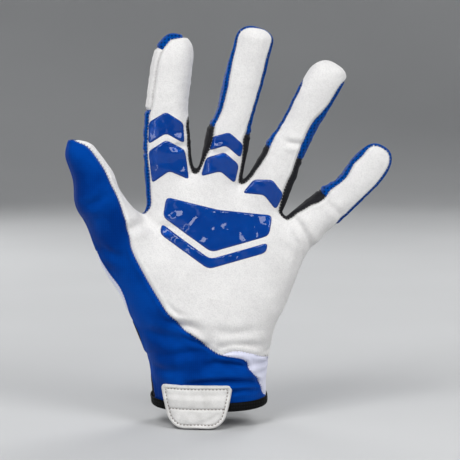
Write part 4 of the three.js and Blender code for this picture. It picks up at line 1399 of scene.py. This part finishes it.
section = smooth_line(BINDING_SECTION + BINDING_SECTION[:1], 3)[:-1]
rings = np.concatenate([cuff_ring(high, off) for off, high in section])
binding = tilted(rings)
binding[:, 2] += BINDING_RIPPLE * value_noise(rings, 5, 5)
faces = grid_faces(len(section), BINDING_TURNS, True, True)
add_piece("cuff_binding_tape", binding, faces, nodes=["cuff_binding"])

# Pull tab: a stitched strip of leather over the front of the cuff
TAB_TOP = 14.4
TAB_DROP = 11.2
TAB_TOP_WIDTH = 43.2
TAB_BOTTOM_WIDTH = 31
TAB_THICKNESS = 1.9
TAB_SHIFT = -6.6
TAB_TOP_ROUND = 3.2
TAB_BOTTOM_ROUND = 8
TAB_COLUMNS = 90
TAB_ROWS = 60
TAB_CLEAR = 0.35
TAB_STITCH_IN = 2.3
TAB_CROSS_STITCH = 0.4
TAB_EDGE_ROUND = 1.1
TAB_GROOVE = 0.5
TAB_CROSS_GROOVE = 0.75
TAB_PUFF = 0.35
TAB_FOLD = ((-8, -9), (-1, -6.8), (6, -3), (9, -2))
TAB_FOLD_DEPTH = 0.75
TAB_BULGE = 0.5
TAB_DIP = 0.25
TAB_STEP = 1.5
TAB_STEP_HEIGHTS = (5.2, 9.2)
TAB_CURL = 0.9
TAB_STEPS_ACROSS = 30
TAB_STEPS_DOWN = 60
STITCH_STEP = 2.1
STITCH_LENGTH = 1.45
STITCH_RADIUS = 0.3


def front_depth(x, z, offset):
    """Depth of the front of the cuff, grown outwards."""
    palm = parts["palm"]
    at = np.clip(z / PALM_HEIGHT, palm.at[0], None)
    left, right = palm.read(palm.left, at)[..., 0], palm.read(palm.right, at)[..., 0]
    half = (right - left) / 2 + offset
    share = np.clip(np.abs(x - (left + right) / 2) / half, 0, 0.995)
    return -(palm.read(palm.front, at) + offset) * (1 - share**palm.power) ** (1 / palm.power)


def tab_point(s, t, inset=0.0):
    """A place on the tab: s from -1 to 1 across it, t from 0 at the top to 1 at the bottom."""
    length = TAB_TOP + TAB_DROP - 2 * inset
    down = t * length
    half = mix(TAB_TOP_WIDTH, TAB_BOTTOM_WIDTH, (down + inset) / (TAB_TOP + TAB_DROP)) / 2 - inset
    half = half + TAB_BULGE * np.sin(np.pi * t)
    top_round, bottom_round = max(TAB_TOP_ROUND - inset, 1), max(TAB_BOTTOM_ROUND - inset, 2)
    into_top = np.clip(1 - down / top_round, 0, 1)
    into_bottom = np.clip(1 - (length - down) / bottom_round, 0, 1)
    half = half - top_round * (1 - np.sqrt(1 - into_top**2))
    half = half - bottom_round * (1 - np.sqrt(1 - into_bottom**2))
    x = TAB_SHIFT + s * half
    z = TAB_TOP - inset - down + TAB_DIP * (1 - s**2) * t
    return x, z


def tab_depth(x, z):
    """Depth of the tab's underside: it lies on the cuff and steps out over the binding."""
    over = TAB_STEP * (1 - smooth(z, *TAB_STEP_HEIGHTS))
    curl = TAB_CURL * smooth(-z, 1, TAB_DROP)
    return front_depth(x, z, TAB_CLEAR) - over - curl


# The tab's edge as shares across and down it
TAB_RING = [(-1 + 2 * k / TAB_STEPS_ACROSS, 0) for k in range(TAB_STEPS_ACROSS)]
TAB_RING += [(1, k / TAB_STEPS_DOWN) for k in range(TAB_STEPS_DOWN)]
TAB_RING += [(1 - 2 * k / TAB_STEPS_ACROSS, 1) for k in range(TAB_STEPS_ACROSS)]
TAB_RING += [(-1, 1 - k / TAB_STEPS_DOWN) for k in range(TAB_STEPS_DOWN)]


def tab_edge_distance(x, z):
    """Distance from the tab's edge, over the whole of it."""
    outline = [tab_point(np.array(a), np.array(b)) for a, b in TAB_RING]
    return -outline_distance(outline, x.ravel(), z.ravel()).reshape(x.shape)


def tab_face(x, z, edge):
    """How far the tab's face stands off its underside."""
    rounded = np.clip(edge / TAB_EDGE_ROUND, 0, 1)
    high = TAB_THICKNESS * np.sqrt(1 - (1 - rounded) ** 2) * 0.9 + 0.1 * TAB_THICKNESS
    groove = TAB_GROOVE * np.exp(-(((edge - TAB_STITCH_IN) / 0.5) ** 2))
    cross = TAB_CROSS_GROOVE * np.exp(-(((z - TAB_CROSS_STITCH) / 0.55) ** 2)) * smooth(edge, 1.5, 2.6)
    inside = smooth(edge, TAB_STITCH_IN, TAB_STITCH_IN + 3)
    puff = TAB_PUFF * inside * (1 - np.exp(-(((z - TAB_CROSS_STITCH) / 2.4) ** 2)))
    p = np.stack([x.ravel(), 0 * x.ravel(), z.ravel()], axis=1)
    uneven = (0.16 * value_noise(p, 6, 8) + 0.07 * value_noise(p, 2.4, 9)).reshape(x.shape)
    far, share = line_distance(smooth_line(TAB_FOLD), x.ravel(), z.ravel())
    fold = (TAB_FOLD_DEPTH * np.exp(-((far / 1.6) ** 2)) * np.sin(np.pi * share)).reshape(x.shape)
    return high - groove - cross + puff + uneven * smooth(edge, 0.5, 2) - fold


s = mix(np.sin(np.linspace(-np.pi / 2, np.pi / 2, TAB_COLUMNS)), np.linspace(-1, 1, TAB_COLUMNS), 0.6)
t = mix((1 - np.cos(np.linspace(0, np.pi, TAB_ROWS))) / 2, np.linspace(0, 1, TAB_ROWS), 0.6)
x, z = tab_point(*np.meshgrid(s, t, indexing="ij"))
edge = np.maximum(tab_edge_distance(x, z), 0)
under = tab_depth(x, z)
face_points = np.stack([x, under - tab_face(x, z, edge), z], axis=-1).reshape(-1, 3)
under_points = np.stack([x, under, z], axis=-1).reshape(-1, 3)
front_faces = grid_faces(TAB_COLUMNS, TAB_ROWS)
tab_points, tab_triangles = thickened(face_points, front_faces, face_points - under_points, 1)
a, b, c = (face_points[front_faces[:, k]] for k in range(3))
if np.cross(b - a, c - a)[:, 1].sum() > 0:
    tab_triangles = tab_triangles[:, ::-1]
tab = add_piece("pull_tab_leather", tab_points, tab_triangles, nodes=["pull_tab"])


def capsule(start, end, lift, radius, around=7, along=7):
    """One stitch: a thread that dips into the cloth at both ends."""
    axis = end - start
    length = np.linalg.norm(axis)
    axis /= length
    side = np.cross(axis, lift)
    side /= np.linalg.norm(side)
    up = np.cross(side, axis)
    points = []
    for k in range(along):
        share = k / (along - 1)
        middle = start + axis * length * share + up * radius * (1.7 * math.sin(math.pi * share) - 0.7)
        thin = radius * (0.35 + 0.65 * math.sin(math.pi * share) ** 0.6)
        for j in range(around):
            angle = 2 * math.pi * j / around
            points.append(middle + thin * (math.cos(angle) * side + math.sin(angle) * up))
    faces = grid_faces(along, around, False, True)
    first, last = len(points), len(points) + 1
    points += [start - up * radius * 0.9, end - up * radius * 0.9]
    caps = [(first, j, (j + 1) % around) for j in range(around)]
    base = (along - 1) * around
    caps += [(last, base + (j + 1) % around, base + j) for j in range(around)]
    return np.array(points), np.concatenate([faces, np.array(caps)])


def one_mesh(threads):
    """All the threads of a seam as one mesh."""
    points, faces, total = [], [], 0
    for made, made_faces in threads:
        points.append(made)
        faces.append(made_faces + total)
        total += len(made)
    return np.concatenate(points), np.concatenate(faces)


def run_of(path):
    """How far along a path each of its points lies."""
    return np.concatenate([[0], np.cumsum(np.linalg.norm(np.diff(path, axis=0), axis=1))])


def at_run(where, run, values):
    """Values at places along a path."""
    return np.stack([np.interp(where, run, values[:, k]) for k in range(3)], axis=-1)


def stitches(path):
    """A row of the tab's stitches along a path, each a small closed thread."""
    run = run_of(path)
    count = int(run[-1] / STITCH_STEP)
    middles = (np.arange(count) + 0.5) * run[-1] / count
    starts = at_run(middles - STITCH_LENGTH / 2, run, path)
    ends = at_run(middles + STITCH_LENGTH / 2, run, path)
    up = np.array([0.0, -1.0, 0.0])
    return one_mesh([capsule(start, end, up, STITCH_RADIUS) for start, end in zip(starts, ends)])


def seam_threads(loops):
    """Short threads that bridge a seam's groove, from the border lines of one panel."""
    threads = []
    for path, facing in loops:
        closed = np.concatenate([path, path[:1]])
        facing = np.concatenate([facing, facing[:1]])
        run = run_of(closed)
        middles = np.arange(SEAM_STEP / 2, run[-1], SEAM_STEP)
        here, up = at_run(middles, run, closed), at_run(middles, run, facing)
        before = at_run(np.maximum(middles - SEAM_LOOK, 0), run, closed)
        ahead = at_run(np.minimum(middles + SEAM_LOOK, run[-1]), run, closed) - before
        across = np.cross(up, ahead)
        across /= np.maximum(np.linalg.norm(across, axis=1, keepdims=True), 1e-9)
        up /= np.maximum(np.linalg.norm(up, axis=1, keepdims=True), 1e-9)
        middle = here + up * SEAM_THREAD_LIFT
        side = across * SEAM_THREAD_LENGTH / 2
        for k in np.nonzero(here[:, 2] > SEAM_THREADS_FROM)[0]:
            threads.append(capsule(middle[k] - side[k], middle[k] + side[k], up[k], SEAM_THREAD_RADIUS, 5, 5))
    return one_mesh(threads)


def on_tab(x, z, edge):
    return np.stack([x, tab_depth(x, z) - tab_face(x, z, edge), z], axis=-1)


ring = TAB_RING + TAB_RING[:1]
x, z = np.array([tab_point(np.array(a), np.array(b), TAB_STITCH_IN) for a, b in ring]).T
row = stitches(on_tab(x, z, np.full(len(x), TAB_STITCH_IN)))
edge_row = add_piece("tab_edge_stitches", *row, slot="white_leather", material=THREAD)

x = np.linspace(-1, 1, 60) * (TAB_TOP_WIDTH + TAB_BOTTOM_WIDTH) / 4 * 0.9 + TAB_SHIFT
row = stitches(on_tab(x, np.full(60, TAB_CROSS_STITCH), np.full(60, 4.0)))
cross_row = add_piece("tab_cross_stitches", *row, slot="white_leather", material=THREAD)

# Threads that bridge the grooves of the seams
SEAM_STEP = 1.9
SEAM_THREAD_LENGTH = 1.15
SEAM_THREAD_RADIUS = 0.17
SEAM_THREAD_LIFT = 0.3
SEAM_THREADS_FROM = 8.5
SEAM_LOOK = 0.8
SEAM_THREADS = (
    ("palm_panel", WHITE_THREAD),
    ("thumb_wrist_panel", BLUE_THREAD),
    ("back_panel", BLUE_THREAD),
    ("gusset_index_middle", BLACK_THREAD),
    ("gusset_middle_ring", BLACK_THREAD),
    ("gusset_ring_little", BLACK_THREAD),
)
for name, material in SEAM_THREADS:
    made = seam_threads(seams[name])
    add_piece(name + "_stitches", *made, slot=SLOTS[name], material=material)

# Camera at the photograph's angle
elevation = math.radians(CAMERA_ELEVATION)
towards = Vector((0, math.cos(elevation), -math.sin(elevation)))
lens = bpy.data.cameras.new("camera")
lens.lens = lens.sensor_width * CAMERA_DISTANCE / VIEW_WIDTH
lens.clip_end = 20
camera = bpy.data.objects.new("camera", lens)
camera.location = (Vector(VIEW_CENTRE) - towards * CAMERA_DISTANCE) * MM
camera.rotation_euler = towards.to_track_quat("-Z", "Y").to_euler()
bpy.context.scene.collection.objects.link(camera)
bpy.context.scene.camera = camera


STAGE_FLOOR = 1500
STAGE_CURVE = 900
STAGE_HEIGHT = 2600
STAGE_STEPS = 12
STAGE_TURNS = 96


def add_stage():
    """A pale round floor that curves up into a wall."""
    profile = [(0.01, 0), (STAGE_FLOOR, 0)]
    for k in range(1, STAGE_STEPS + 1):
        angle = math.pi / 2 * k / STAGE_STEPS
        profile.append((STAGE_FLOOR + STAGE_CURVE * math.sin(angle), STAGE_CURVE * (1 - math.cos(angle))))
    profile.append((STAGE_FLOOR + STAGE_CURVE, STAGE_HEIGHT))
    turns = np.linspace(0, 2 * np.pi, STAGE_TURNS, endpoint=False)
    points = np.array([(r * math.cos(a), r * math.sin(a), z + FLOOR_Z) for r, z in profile for a in turns])
    faces = grid_faces(len(profile), STAGE_TURNS, False, True)
    backdrop = mesh_object("backdrop", points, faces, floor_material())


LIGHTS_AIM = (0.0, 0.0, 0.1)


def add_light(name, location, size, power):
    light = bpy.data.lights.new(name, "AREA")
    light.shape = "RECTANGLE"
    light.size, light.size_y = size
    light.energy = power
    lamp = bpy.data.objects.new(name, light)
    lamp.location = location
    lamp.rotation_euler = (Vector(LIGHTS_AIM) - lamp.location).to_track_quat("-Z", "Y").to_euler()
    bpy.context.scene.collection.objects.link(lamp)


# Name, place in metres, size and power of each lamp
LIGHTS = (
    ("key", (-0.45, -0.85, 1.15), (0.6, 0.6), 11),
    ("second", (0.8, -0.8, 0.85), (0.6, 0.6), 9.5),
    ("fill", (-0.9, -0.9, 0.1), (0.8, 0.8), 2),
    ("strip", (-0.75, -0.8, 0.35), (0.12, 0.9), 2),
    ("back", (0.55, 0.95, 0.95), (0.6, 0.6), 8),
    ("back_fill", (-0.7, 0.95, 0.5), (0.6, 0.6), 5),
)
add_stage()
for light in LIGHTS:
    add_light(*light)
world = bpy.data.worlds.new("studio")
world.use_nodes = True
sky = world.node_tree.nodes["Background"].inputs
sky["Color"].default_value = (0.85, 0.88, 0.92, 1)
sky["Strength"].default_value = 0.24
bpy.context.scene.world = world
bpy.context.scene.view_settings.view_transform = "Standard"
